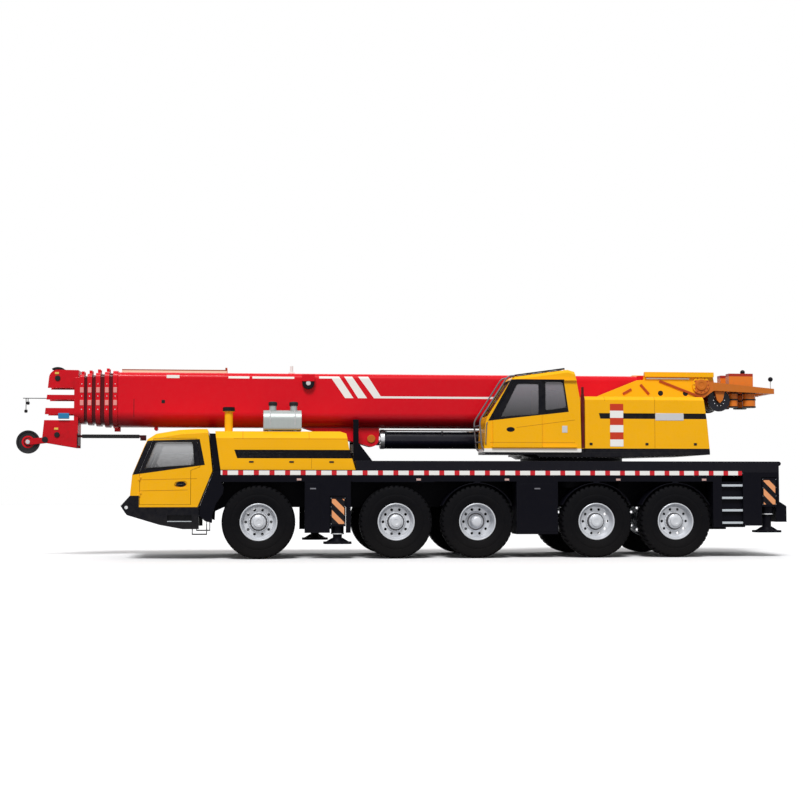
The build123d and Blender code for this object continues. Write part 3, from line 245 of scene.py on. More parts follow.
def mixColour(tree, factor, first, second):
    node = tree.nodes.new("ShaderNodeMix")
    node.data_type = "RGBA"
    fill(tree, node, {0: factor, 6: first, 7: second})
    return node.outputs[2]


def objectPoint(tree):
    return nodeIn(tree, "TexCoord")["Object"]


def coordinate(tree, axis):
    return nodeIn(tree, "SeparateXYZ", objectPoint(tree))[axis]


def vectors(tree, operation, first, second):
    return nodeIn(tree, "VectorMath", first, second, settings={"operation": operation})


def noise(tree, scale, detail, roughness=0.5, point=None):
    return nodeIn(tree, "TexNoise", Vector=point or objectPoint(tree), Scale=scale, Detail=detail,
                  Roughness=roughness)["Fac"]


def between(tree, value, low, high):
    # The value's rise from low to high, as 0 to 1
    return nodeIn(tree, "MapRange", value, low, high)[0]


def inside(tree, value, low, high):
    # 1 where low < value < high
    above = calc(tree, "GREATER_THAN", value, low)
    return calc(tree, "MULTIPLY", above, calc(tree, "LESS_THAN", value, high))


def heightRise(tree, low, high):
    # 0 at height low to 1 at height high, which may lie below it
    span = high - low
    return calc(tree, "MULTIPLY_ADD", coordinate(tree, "Z"), 1 / span, -low / span, clamp=True)


def bumped(tree, height, strength, distance=0.002, **normal):
    return nodeIn(tree, "Bump", Height=height, Strength=strength, Distance=distance, **normal)[0]


socketKinds = {"Colour": "Color", "Normal": "Vector", "Direction": "Vector", "Stretch": "Vector"}


def newGroup(name, inputs, outputs):
    # A node group; a socket's kind follows from its name's last word
    def addSocket(label, way):
        kind = socketKinds.get(label.split()[-1], "Float")
        return tree.interface.new_socket(label, in_out=way, socket_type="NodeSocket" + kind)

    tree = groups[name] = bpy.data.node_groups.new(name, "ShaderNodeTree")
    for label, value in inputs.items():
        addSocket(label, "INPUT").default_value = (*value, 1) if "Colour" in label else value
    for label in outputs:
        addSocket(label, "OUTPUT")
    return tree, tree.nodes.new("NodeGroupInput").outputs, tree.nodes.new("NodeGroupOutput")


def makeFinishGroup():
    # Painted or moulded surface: slow colour drift, dust low down and in patches, and a fine skin
    tree, given, result = newGroup("surfaceFinish", {
        "Colour": (0.8, 0.8, 0.8), "Dust Colour": (0.45, 0.4, 0.33), "Dust": 0.15, "Dust Height": 0.9,
        "Drift": 0.06, "Roughness": 0.35, "Roughness Drift": 0.12, "Skin Scale": 220.0,
    }, ("Colour", "Roughness", "Skin"))
    wide, fine = noise(tree, 1.3, 3.0, 0.55), noise(tree, 9.0, 5.0, 0.62)
    height = calc(tree, "DIVIDE", coordinate(tree, "Z"), given["Dust Height"])
    low = calc(tree, "SUBTRACT", 1.0, height, clamp=True)
    patches = calc(tree, "ADD", low, calc(tree, "MULTIPLY", between(tree, fine, 0.42, 0.72), 0.35))
    dusty = calc(tree, "MULTIPLY", patches, given["Dust"], clamp=True)
    shade = calc(tree, "MULTIPLY_ADD", calc(tree, "SUBTRACT", wide, 0.5), given["Drift"], 1.0)
    toned = nodeIn(tree, "HueSaturation", Color=given["Colour"], Value=shade)[0]
    rough = calc(tree, "MULTIPLY_ADD", calc(tree, "SUBTRACT", fine, 0.5), given["Roughness Drift"],
                 given["Roughness"])
    fill(tree, result, {
        "Colour": mixColour(tree, dusty, toned, given["Dust Colour"]),
        "Roughness": calc(tree, "ADD", rough, calc(tree, "MULTIPLY", dusty, 0.45), clamp=True),
        "Skin": noise(tree, given["Skin Scale"], 1.5),
    })


def makeEdgeGroup():
    # Edge rounding and the wear on it: how far a rounded normal leans away from the flat one
    tree, given, result = newGroup("edgeWear", {"Radius": 0.01, "Amount": 0.4}, ("Normal", "Wear"))
    rounded = nodeIn(tree, "Bevel", settings={"samples": 4}, Radius=given["Radius"])[0]
    lean = vectors(tree, "DOT_PRODUCT", rounded, nodeIn(tree, "NewGeometry")["Normal"])["Value"]
    edge = calc(tree, "SUBTRACT", 1.0, lean, clamp=True)
    worn = between(tree, calc(tree, "MULTIPLY", edge, noise(tree, 34.0, 6.0, 0.7)), 0.06, 0.16)
    wear = calc(tree, "MULTIPLY", worn, given["Amount"], clamp=True)
    fill(tree, result, {"Normal": rounded, "Wear": wear})


def makeBandGroup():
    # 1 where low < dot(point, direction) < high
    tree, given, result = newGroup("band", {"Direction": (0, 0, 1), "Low": 0.0, "High": 1.0}, ("Mask",))
    along = vectors(tree, "DOT_PRODUCT", objectPoint(tree), given["Direction"])["Value"]
    fill(tree, result, {"Mask": inside(tree, along, given["Low"], given["High"])})


def makeStripeGroup():
    # Stripes across a direction: 1 over the first share of each period
    tree, given, result = newGroup(
        "stripes", {"Direction": (1, 0, 0), "Period": 0.3, "Share": 0.5, "Shift": 0.0}, ("Mask",))
    along = vectors(tree, "DOT_PRODUCT", objectPoint(tree), given["Direction"])["Value"]
    turn = calc(tree, "DIVIDE", calc(tree, "ADD", along, given["Shift"]), given["Period"])
    fill(tree, result, {"Mask": calc(tree, "LESS_THAN", calc(tree, "FRACT", turn), given["Share"])})


def makeBrushGroup():
    # Long fine scratches along one axis of a metal
    tree, given, result = newGroup("brushed", {"Stretch": (2.0, 60.0, 60.0)}, ("Height",))
    scaled = vectors(tree, "MULTIPLY", objectPoint(tree), given["Stretch"])[0]
    fill(tree, result, {"Height": noise(tree, 1.0, 4.0, 0.65, scaled)})


for makeGroup in (makeFinishGroup, makeEdgeGroup, makeBandGroup, makeStripeGroup, makeBrushGroup):
    makeGroup()
print("node groups made:", len(groups))


def useGroup(tree, group, **values):
    node = tree.nodes.new("ShaderNodeGroup")
    node.node_tree = groups[group]
    fill(tree, node, {key.replace("_", " "): value for key, value in values.items()})
    return node.outputs


# An area is a function that adds its mask to a shader tree: 1 inside, 0 outside
def band(direction, low, high):
    return lambda tree: useGroup(tree, "band", Direction=direction, Low=low, High=high)["Mask"]


def xBand(low, high):
    return band((1, 0, 0), low, high)


def zBand(low, high):
    return band((0, 0, 1), low, high)


def leftBand(low, high):
    return band((0, -1, 0), low, high)


def stripes(direction, period, share, shift=0.0):
    return lambda tree: useGroup(
        tree, "stripes", Direction=direction, Period=period, Share=share, Shift=shift)["Mask"]


def beyond(low, high=9.0):
    # 1 where low < |y| < high
    return lambda tree: inside(tree, calc(tree, "ABSOLUTE", coordinate(tree, "Y")), low, high)


def joined(operation, areas):
    def mask(tree):
        total = areas[0](tree)
        for area in areas[1:]:
            total = calc(tree, operation, total, area(tree))
        return total
    return mask


def every(*areas):
    return joined("MULTIPLY", areas)


def anyOf(*areas):
    return joined("MAXIMUM", areas)


def region(corners):
    # A convex outline of (x, z) corners, on both sides of the crane: one half-plane for each edge
    corners = turnedLeft(corners)
    halfPlanes = []
    for start, (dx, dz) in zip(corners, np.roll(corners, -1, 0) - corners):
        inward = np.array([-dz, dx]) / math.hypot(dx, dz)
        halfPlanes.append(band((inward[0], 0, inward[1]), float(inward @ start), 1000.0))
    return every(*halfPlanes)


def lines(rows, width, reach):
    # Thin lines, each from (x, z) to (x, z)
    return every(anyOf(*[region(widened(*row, width)) for row in rows]), beyond(reach))


def oval(x, z, wide, high, inner=0.0):
    # inner < hypot((X - x) / wide, (Z - z) / high) < 1
    def mask(tree):
        across = calc(tree, "DIVIDE", calc(tree, "SUBTRACT", coordinate(tree, "X"), x), wide)
        up = calc(tree, "DIVIDE", calc(tree, "SUBTRACT", coordinate(tree, "Z"), z), high)
        squares = [calc(tree, "MULTIPLY", part, part) for part in (across, up)]
        return inside(tree, calc(tree, "SQRT", calc(tree, "ADD", *squares)), inner, 1.0)
    return mask


def topSeams(across, alongside, height, half=0.004):
    # Thin seams over a top: across at given x, and along at given |y|
    seams = [xBand(x - half, x + half) for x in across] + [beyond(y - half, y + half) for y in alongside]
    return every(anyOf(*seams), zBand(height, 9))


def lowShade(tree):
    # Painted shade that thickens towards the bottom edge of the sections
    paintedShade = calc(tree, "MULTIPLY", heightRise(tree, 2.98, 2.72), 0.8)
    return calc(tree, "MULTIPLY", paintedShade, zBand(2.66, 3.1)(tree))


def newMaterial(name):
    material = materials[name] = bpy.data.materials.new(name)
    material.use_nodes = True
    return material.node_tree, material.node_tree.nodes["Principled BSDF"]


def paint(name, colour, areas=(), roughness=0.32, metallic=0.0, coat=0.0, specular=0.1, drift=0.1, dust=0.12,
          dustHeight=0.9, dustColour=(0.4, 0.36, 0.3), wear=0.25, wornColour=(0.3, 0.29, 0.28),
          skinScale=220.0, skinDepth=0.02, relief=None):
    # A finish with areas of other colours, of which the black ones have no coat
    tree, shader = newMaterial(name)
    matt = None
    for area, areaColour in areas:
        mask = area(tree)
        colour = mixColour(tree, mask, colour, areaColour)
        if coat and areaColour == blackPaint:
            matt = mask if matt is None else calc(tree, "MAXIMUM", matt, mask)
    finish = useGroup(tree, "surfaceFinish", Colour=colour, Dust=dust, Dust_Height=dustHeight, Drift=drift,
                      Roughness=roughness, Skin_Scale=skinScale, Dust_Colour=dustColour)
    edge = useGroup(tree, "edgeWear", Amount=wear)
    shaped = bumped(tree, relief(tree), 0.6, 0.004, Normal=edge["Normal"]) if relief else edge["Normal"]
    fill(tree, shader, {
        "Base Color": mixColour(tree, edge["Wear"], finish["Colour"], wornColour),
        "Roughness": finish["Roughness"], "Metallic": metallic, "Specular IOR Level": specular,
        "Normal": bumped(tree, finish["Skin"], skinDepth, Normal=shaped), "Coat Roughness": 0.12,
        "Coat Weight": coat if matt is None else calc(tree, "MULTIPLY_ADD", matt, -coat, coat),
    })


def metal(name, colour, roughness, stretch, depth, metallic):
    tree, shader = newMaterial(name)
    streaks = useGroup(tree, "brushed", Stretch=stretch)["Height"]
    finish = useGroup(tree, "surfaceFinish", Colour=colour, Dust=0.05, Drift=0.15, Roughness=roughness)
    dull = tuple(0.55 * part for part in colour)
    fill(tree, shader, {
        "Base Color": mixColour(tree, calc(tree, "MULTIPLY", streaks, 0.35), finish["Colour"], dull),
        "Roughness": finish["Roughness"], "Normal": bumped(tree, streaks, depth), "Metallic": metallic})


def glass(name, colour, alpha, pale, low, high):
    # Tinted pane seen through by alpha, with a sharp reflection, and a painted reflection that pales it from
    # height low to high
    tree, shader = newMaterial(name)
    finish = useGroup(tree, "surfaceFinish", Colour=colour, Dust=0.03, Dust_Height=5.0, Roughness=0.02,
                      Roughness_Drift=0.02)
    fill(tree, shader, {
        "Base Color": mixColour(tree, heightRise(tree, low, high), finish["Colour"], pale),
        "Roughness": finish["Roughness"], "Alpha": alpha, "Coat Weight": 1.0, "Coat Roughness": 0.01})


def lamp(name, colour, areas=()):
    # A ribbed lens
    tree, shader = newMaterial(name)
    finish = useGroup(tree, "surfaceFinish", Colour=colour, Dust=0.05, Roughness=0.12)
    toned = finish["Colour"]
    for area, areaColour in areas:
        toned = mixColour(tree, area(tree), toned, areaColour)
    ribs = stripes((0.0, 1.0, 1.0), 0.012, 0.5)(tree)
    fill(tree, shader, {"Base Color": toned, "Roughness": finish["Roughness"],
                        "Normal": bumped(tree, ribs, 0.2), "Coat Weight": 1.0})


def makeTyreRubber():
    # Rubber with a fine grain of noise and cells
    tree, shader = newMaterial("tyreRubber")
    finish = useGroup(tree, "surfaceFinish", Colour=(0.003, 0.003, 0.004), Roughness=0.66, Drift=0.4,
                      Dust=0.08, Dust_Height=0.7, Dust_Colour=(0.07, 0.062, 0.055))
    scale = 160.0
    cells = nodeIn(tree, "TexVoronoi", Vector=objectPoint(tree), Scale=scale)["Distance"]
    grain = calc(tree, "MULTIPLY_ADD", cells, 0.3, noise(tree, scale, 4.0, 0.7))
    fill(tree, shader, {"Base Color": finish["Colour"], "Roughness": finish["Roughness"],
                        "Normal": bumped(tree, grain, 0.15), "Specular IOR Level": 0.06})


def makeSeatCloth():
    # Woven seat cloth: warp and weft as two sets of fine stripes
    tree, shader = newMaterial("seatCloth")
    finish = useGroup(tree, "surfaceFinish", Colour=(0.035, 0.037, 0.042), Roughness=0.88, Drift=0.3,
                      Dust=0.05, Skin_Scale=400.0)
    warp, weft = [stripes(way, 0.005, 0.5)(tree) for way in ((0.5, 0, 1), (0, 1, 0))]
    weave = calc(tree, "ABSOLUTE", calc(tree, "SUBTRACT", warp, weft))
    threaded = mixColour(tree, calc(tree, "MULTIPLY", weave, 0.3), finish["Colour"], (0.09, 0.09, 0.1))
    fill(tree, shader, {"Base Color": threaded, "Roughness": finish["Roughness"], "Sheen Weight": 0.25,
                        "Normal": bumped(tree, weave, 0.4, 0.001)})


white = (0.9, 0.89, 0.86)
yellow = (0.95, 0.46, 0.003)
boomRed = (0.68, 0.004, 0.014)
blackPaint = (0.0035, 0.0035, 0.0065)
# darker yellow for the dark joints of the seams, and painted shade along the creases
seamAndCreaseShade = (0.45, 0.16, 0.002)
# darkRed is also the colour of the painted shade under and between the boom's sections
darkRed = (0.1, 0.003, 0.006)
pivotOrange = (0.58, 0.16, 0.02)
lensWhite = (0.8, 0.82, 0.84)
lensRed = (0.6, 0.01, 0.01)
roadDust = (0.1, 0.09, 0.08)

# each axle's number, with its x and whether it is driven
axles = {1: (-3.0, True), 2: (-0.25, True), 3: (1.4, False), 4: (3.85, True), 5: (5.5, True)}
wheel = {"radius": 0.735, "centreY": 1.277, "pitches": 42, "grooveDepth": 0.024, "grooveFloor": 0.69,
         "slant": 0.1, "shadeIn": 0.148, "shadeOut": 0.176}

cabMarks = {
    "window": [(-5.2, 2.352), (-4.172, 2.384), (-4.068, 1.87), (-5.485, 1.672)],
    "creases": [(-5.34, 1.575, -4.22, 1.6), (-5.33, 1.357, -4.4, 1.375)],
    "cup": (-4.536, 1.488, 0.095, 0.055),
}
cabBlack = anyOf(zBand(0.0, 1.036), every(xBand(-9, -5.352), zBand(0.0, 1.262)),
                 every(region(cabMarks["window"]), beyond(1.3)), every(oval(*cabMarks["cup"]), beyond(1.4)))

upperMarks = {
    "window": [(2.105, 3.625), (3.19, 3.625), (3.29, 2.965), (1.625, 2.775)],
    "visor": [(1.5, 3.6), (2.14, 3.68), (3.7, 3.906), (3.7, 4.2), (1.5, 4.2)],
    "creases": [(2.735, 2.23, 2.735, 2.9), (1.66, 2.337, 3.42, 2.337), (2.2, 2.64, 3.42, 2.8)],
    "cup": (2.08, 2.6, 0.085, 0.05),
}
upperBlack = anyOf(every(region(upperMarks["window"]), leftBand(1.38, 9)), region(upperMarks["visor"]),
                   every(oval(*upperMarks["cup"]), beyond(1.4)))

hoodMarks = {
    "band": [(-3.49, 2.175), (-3.43, 2.005), (-1.1, 2.005), (-1.14, 2.175)],
    "creases": [(-3.5, 2.395, -1.2, 2.395), (-1.95, 1.8, -1.95, 2.0)],
}
housingMarks = {
    "band": [(3.96, 2.832), (3.93, 2.945), (6.3, 2.945), (6.3, 2.832)],
    "creases": [(5.1, 2.23, 5.1, 2.83), (5.1, 2.95, 5.1, 3.3)],
}

# the boom's stripes: blocks, slanted bars from top to bottom, and the long line
slantTop, slantLow = 3.73, 3.28
slants = [(-1.524, -1.338, -1.04, -1.213), (-1.234, -1.067, -0.755, -0.943),
          (-0.943, -0.734, -0.442, -0.609)]
boomStripes = [
    rectangle(-3.624, -3.194, 3.672, 3.716), rectangle(-3.133, -2.269, 3.672, 3.716),
    [(-1.752, 3.684), (-1.43, 3.684), (-1.45, slantTop), (-1.752, slantTop)],
    *[[(a, slantTop), (b, slantTop), (c, slantLow), (d, slantLow)] for a, b, c, d in slants],
    rectangle(-0.6, 5.0, slantLow, 3.322),
]
boomWhite = every(anyOf(*[region(stripe) for stripe in boomStripes]), beyond(0.36))
# the stretch of each section that shows between two collars, darkened there as painted shade
sectionGaps = ((-6.047, -5.972), (-6.227, -6.142), (-6.397, -6.322), (-6.557, -6.492))
sectionShade = anyOf(*[xBand(*gap) for gap in sectionGaps])
# raised bars of a tread plate, in turn along one diagonal and along the other
treadWays = ((0.7071, 0.7071, 0), (0.7071, -0.7071, 0))
treadPlate = anyOf(*[
    every(*[stripes(way, 0.06, share, shift) for way, share in zip(treadWays, shares)])
    for shift, shares in ((0.0, (0.2, 0.7)), (0.03, (0.7, 0.2)))])
# painted shadow: a dark ring round each hub on the rims
hubShade = anyOf(*[
    oval(x, wheel["radius"], wheel["shadeOut"], wheel["shadeOut"], wheel["shadeIn"] / wheel["shadeOut"])
    for x, driven in axles.values()])

panel = {"roughness": 0.28, "coat": 0.12, "wear": 0.04}
small = {"roughness": 0.4, "dust": 0.05}
striped = {"roughness": 0.3, "dust": 0.06, "wear": 0}
paint("chassisBlack", blackPaint, roughness=0.42, dust=0.03, wear=0.15, specular=0.05, dustColour=roadDust,
      wornColour=(0.1, 0.1, 0.1))
paint("deckBlack", (0.005, 0.005, 0.009), roughness=0.5, dust=0.06, dustHeight=2.6, specular=0.08,
      dustColour=roadDust, relief=treadPlate)
paint("axleGrey", (0.02, 0.02, 0.022), roughness=0.6, dust=0.35, dustHeight=1.3, specular=0.2,
      dustColour=roadDust)
# the crease lines on the yellow panels here and below are painted shade
paint("cabYellow", yellow, [(lines(cabMarks["creases"], 0.01, 1.4), seamAndCreaseShade), (cabBlack, blackPaint)],
      dust=0.06, **panel)
paint("hoodYellow", yellow, [
    (zBand(2.965, 4), blackPaint), (every(region(hoodMarks["band"]), beyond(1.4)), blackPaint),
    (topSeams((-3.32, -2.0), (0.66,), 2.4), seamAndCreaseShade),
    (lines(hoodMarks["creases"], 0.007, 1.4), seamAndCreaseShade)], dust=0.05, **{**panel, "roughness": 0.3})
paint("upperYellow", yellow, [
    (lines(upperMarks["creases"], 0.009, 1.4), seamAndCreaseShade), (upperBlack, blackPaint),
    (zBand(2.0, 2.214), white)], dust=0.04, **panel)
paint("frameYellow", yellow, [
    (zBand(1.9, 2.22), blackPaint), (every(xBand(6.22, 9), zBand(2.3, 3.7)), (0.62, 0.16, 0.02)),
    (xBand(6.62, 9), pivotOrange),
    (every(region(rectangle(3.55, 3.64, 2.225, 3.6)), leftBand(1.3, 2)), darkRed)],
    roughness=0.36, coat=0.1, dust=0.08, wear=0.15)
paint("housingYellow", yellow, [
    (zBand(1.9, 2.222), blackPaint), (every(region(housingMarks["band"]), beyond(1.38)), blackPaint),
    (topSeams((4.05, 5.1), (), 3.2), seamAndCreaseShade),
    (lines(housingMarks["creases"], 0.009, 1.3), seamAndCreaseShade)], dust=0.05, **panel)
# the boom's lower edge carries painted shade from lowShade
paint("boomRed", boomRed, [
    (lowShade, darkRed), (boomWhite, white),
    (every(xBand(-5.84, -3.66), zBand(3.793, 3.842)), (0.86, 0.72, 0.52)),
    (every(xBand(-5.84, -3.66), zBand(3.842, 3.95)), (0.33, 0.07, 0.02)),
    (every(xBand(-2.12, -1.84), zBand(3.4, 3.615), leftBand(0.436, 0.6)), blackPaint),
    (every(xBand(-2.4, -2.24), zBand(3.793, 4.0)), white),
    (lines([(-5.543, 2.86, -5.543, 3.235)], 0.012, 0.3), darkRed)], coat=0.08, dust=0.03, wear=0.05)
# painted shade on the sections: lowShade at their bottom, sectionShade between the collars
paint("sectionRed", boomRed, [(lowShade, darkRed), (sectionShade, darkRed)], coat=0.08, dust=0.03,
      wear=0.08)
paint("headRed", boomRed, [(every(xBand(-6.7, -5.2), zBand(2.2, 2.53)), blackPaint)], roughness=0.36,
      coat=0.1, drift=0.4, dust=0.45, dustHeight=4.5, dustColour=(0.16, 0.008, 0.006), wear=0.35,
      wornColour=(0.1, 0.02, 0.015))
paint("cylinderBlack", (0.005, 0.005, 0.012), roughness=0.25, dust=0.03, wear=0.1, specular=0.25)
paint("sheavePlastic", (0.012, 0.012, 0.014), roughness=0.5, dust=0.05, wear=0.0, specular=0.2)
paint("ballastOrange", (0.78, 0.2, 0.02), [
    (zBand(3.0, 3.16), blackPaint), (zBand(3.8, 3.95), (0.4, 0.03, 0.015))],
    roughness=0.38, coat=0.2, dust=0.05, wear=0.15)
paint("interiorPlastic", (0.045, 0.046, 0.05), roughness=0.62, skinScale=500, skinDepth=0.25, dust=0,
      wear=0)
paint("engineIron", (0.09, 0.09, 0.095), roughness=0.6, metallic=0.4, dust=0.2, dustHeight=3, skinDepth=0.3,
      skinScale=120)
paint("rimSilver", (0.62, 0.64, 0.68), [(hubShade, (0.12, 0.12, 0.13))], roughness=0.34, metallic=0.35,
      dust=0.1, dustHeight=1.2, wear=0.05)
paint("plateSilver", (0.55, 0.55, 0.56), roughness=0.4, metallic=0.5, dust=0)
paint("rubberBlack", (0.006, 0.006, 0.007), roughness=0.75, dust=0.05, wear=0, skinDepth=0.2, specular=0.15)
paint("glossBlack", (0.005, 0.005, 0.008), roughness=0.15, dust=0, wear=0)
paint("capBlack", (0.006, 0.006, 0.007), roughness=0.5, dust=0, wear=0, specular=0.2)
paint("railGrey", (0.16, 0.16, 0.18), roughness=0.4, metallic=0.3, dust=0)
# pink plates on the boom's collars: painted highlights
paint("paintedHighlightPink", (0.8, 0.3, 0.28), **small)
paint("yellowMark", (0.8, 0.55, 0.1), **small)
paint("strutBrown", (0.42, 0.07, 0.015), **small)
paint("pivotOrange", pivotOrange, **small)
paint("deviceBlue", (0.02, 0.2, 0.42), roughness=0.35, coat=0.3, dust=0)
paint("stepGrey", (0.52, 0.56, 0.6), [(every(xBand(-5, -3.9), zBand(0.4, 0.7)), blackPaint)], roughness=0.4,
      metallic=0.3, dust=0.05)
paint("whitePaint", white, roughness=0.3, coat=0.3, dust=0.02)
paint("markerStrip", white, [(stripes((1, 0, 0), 0.31, 0.33), (0.62, 0.02, 0.03))], **striped)
# hazard stripes in peach and black: their colours carry painted shade
paint("hazardLeft", (0.85, 0.36, 0.16), [(stripes((0.7071, 0, 0.7071), 0.2, 0.5), blackPaint)], **striped)
paint("hazardBars", white, [(stripes((0, 0, 1), 0.295, 0.5, 0.2475), (0.6, 0.05, 0.02))], **striped)
metal("mufflerSteel", (0.4, 0.43, 0.42), 0.4, (30.0, 30.0, 3.0), 0.3, 0.5)
metal("chromedRod", (0.82, 0.83, 0.84), 0.08, (1.0, 80.0, 80.0), 0.02, 1.0)
metal("ladderSteel", (0.7, 0.71, 0.73), 0.34, (3.0, 60.0, 60.0), 0.1, 0.8)
metal("ropeSteel", (0.22, 0.21, 0.2), 0.45, (90.0, 20.0, 90.0), 0.8, 0.8)
makeTyreRubber()
makeSeatCloth()
# painted reflections: each pane pales towards the given colour between the two heights
glass("tintedGlass", (0.012, 0.013, 0.018), 0.66, (0.3, 0.28, 0.32), 2.9, 3.62)
glass("clearGlass", (0.015, 0.016, 0.02), 0.46, (0.55, 0.56, 0.58), 1.72, 2.2)
lamp("clearLamp", lensWhite)
lamp("amberLamp", (0.9, 0.22, 0.02))
lamp("redLamp", lensRed)
lamp("carrierLamps", (0.58, 0.34, 0.3), [(xBand(-6, -5), lensWhite), (xBand(7, 9), lensRed)])

# the finishes of the CAD nodes, each with the whole names or first words of its nodes
finishNodes = {
    "chassisBlack": "chassis_frame side_panels boom_rest outrigger",
    "deckBlack": "carrier_deck",
    "axleGrey": "axles knuckle",
    "cabYellow": "carrier_cab carrier_door_left carrier_door_right",
    "hoodYellow": "engine_hood",
    "upperYellow": "operator_cab operator_door",
    "housingYellow": "side_housings",
    "frameYellow": "slewing_frame",
    "clearGlass": "carrier_cab_glass carrier_door_glass_left carrier_door_glass_right",
    "tintedGlass": "operator_cab_glass operator_door_glass",
    "interiorPlastic": "cab_interior operator_seat",
    "rubberBlack": "steering_wheel",
    "engineIron": "engine_block",
    "mufflerSteel": "exhaust_muffler",
    "stepGrey": "access_ladders",
    "carrierLamps": "carrier_lamps",
    "boomRed": "boom_base",
    "headRed": "telescope_5",
    "sectionRed": "telescope",
    "sheavePlastic": "upper_sheaves lower_sheaves rooster_sheave",
    "cylinderBlack": "luffing_barrel winch_drum",
    "chromedRod": "luffing_rod",
    "ballastOrange": "ballast_lift",
    "tyreRubber": "wheel",
}
finishOf = {node: finish for finish, names in finishNodes.items() for node in names.split()}
for name, node in nodes.items():
    node.data.materials.clear()
    node.data.materials.append(materials[finishOf.get(name) or finishOf[name.split("_")[0]]])
print("materials made:", len(materials))

# half of the tyre's section from the tread's middle to the bead: distance from the middle, radius
tyreHalf = [
    (0.0, 0.735), (0.02, 0.735), (0.034, 0.735), (0.04, 0.711), (0.052, 0.711), (0.058, 0.734),
    (0.096, 0.733), (0.102, 0.711), (0.114, 0.711), (0.12, 0.7315), (0.15, 0.73), (0.172, 0.727),
    (0.188, 0.718), (0.198, 0.705), (0.205, 0.686), (0.21, 0.655), (0.2135, 0.615), (0.2148, 0.575),
    (0.2148, 0.56), (0.2115, 0.556), (0.2115, 0.545), (0.214, 0.54), (0.212, 0.5), (0.207, 0.455),
    (0.198, 0.42), (0.196, 0.41), (0.19, 0.395), (0.182, 0.372), (0.17, 0.357)]
tyreInside = [(0.168, 0.345), (-0.168, 0.345)]


def tyreSurface(centre, outward):
    # r = tyre section radius, less the groove depth between blocks; the angle leans with the distance
    # from the middle, so that the lateral grooves slant, and the halves are half a pitch apart
    half = np.array(tyreHalf)
    section = np.concatenate([half[:0:-1] * (-1, 1), half, tyreInside])
    offset, radius = section[:, :1], section[:, 1:]
    pitch = 2 * np.pi / wheel["pitches"]
    corners = np.array([0.0, 0.3, 0.6, 0.64, 0.8, 0.96])
    angle = ((np.arange(wheel["pitches"])[:, None] + corners) * pitch).ravel()
    groove = np.tile([0, 0, 0, 1, 1, 1.0], wheel["pitches"])
    away = np.abs(offset)
    grooved = (away > 0.057) & (away < 0.1985) & (radius > 0.7)
    deep = radius - wheel["grooveDepth"] * grooved * groove
    r = np.maximum(deep, np.minimum(radius, wheel["grooveFloor"]))
    a = angle + wheel["slant"] * np.minimum(away, 0.2) / 0.2 + np.where(offset > 0.03, 0.5 * pitch, 0.0)
    x, z = centre[0] + r * np.cos(a), centre[2] + r * np.sin(a)
    points = np.stack([x, centre[1] + outward * np.broadcast_to(offset, r.shape), z], 2)
    faces = gridFaces(len(section), len(angle), closeRows=True)
    return points, faces if outward > 0 else faces[:, ::-1]


# rim sections from the inner edge of the flange to the middle of the hub: radius, distance outwards
rimEdge = [(0.34, -0.166), (0.366, -0.172), (0.368, -0.18), (0.352, -0.182), (0.338, -0.17), (0.33, -0.1),
           (0.352, 0.15), (0.357, 0.168), (0.372, 0.174), (0.374, 0.184), (0.366, 0.189), (0.352, 0.186),
           (0.345, 0.172)]
rimShapes = {
    True: {
        "barrel": [(0.34, 0.15), (0.331, 0.11), (0.322, 0.078), (0.312, 0.06), (0.3, 0.052)],
        "hub": [(0.206, 0.052), (0.198, 0.056), (0.196, 0.07), (0.186, 0.074), (0.16, 0.074), (0.156, 0.08),
                (0.15, 0.13), (0.144, 0.15), (0.128, 0.162), (0.112, 0.166), (0.108, 0.176), (0.104, 0.186),
                (0.094, 0.19), (0.052, 0.19), (0.046, 0.186), (0.0, 0.186)],
        "disc": 0.052, "nuts": (0.178, 0.074), "capBolts": (0.136, 0.158),
    },
    False: {
        "barrel": [(0.338, 0.14), (0.33, 0.06), (0.322, -0.01), (0.312, -0.045), (0.3, -0.054)],
        "hub": [(0.206, -0.054), (0.198, -0.05), (0.19, -0.044), (0.15, -0.04), (0.134, -0.034),
                (0.124, 0.0), (0.118, 0.07), (0.11, 0.098), (0.1, 0.108), (0.088, 0.12), (0.08, 0.124),
                (0.0, 0.124)],
        "disc": -0.054, "nuts": (0.17, -0.041), "capBolts": (0.1, 0.106),
    },
}
disc = {"inner": 0.206, "outer": 0.298, "holeRadius": 0.028, "holes": 10, "sides": 24, "steps": 5,
        "depths": (0.006, 0.04)}


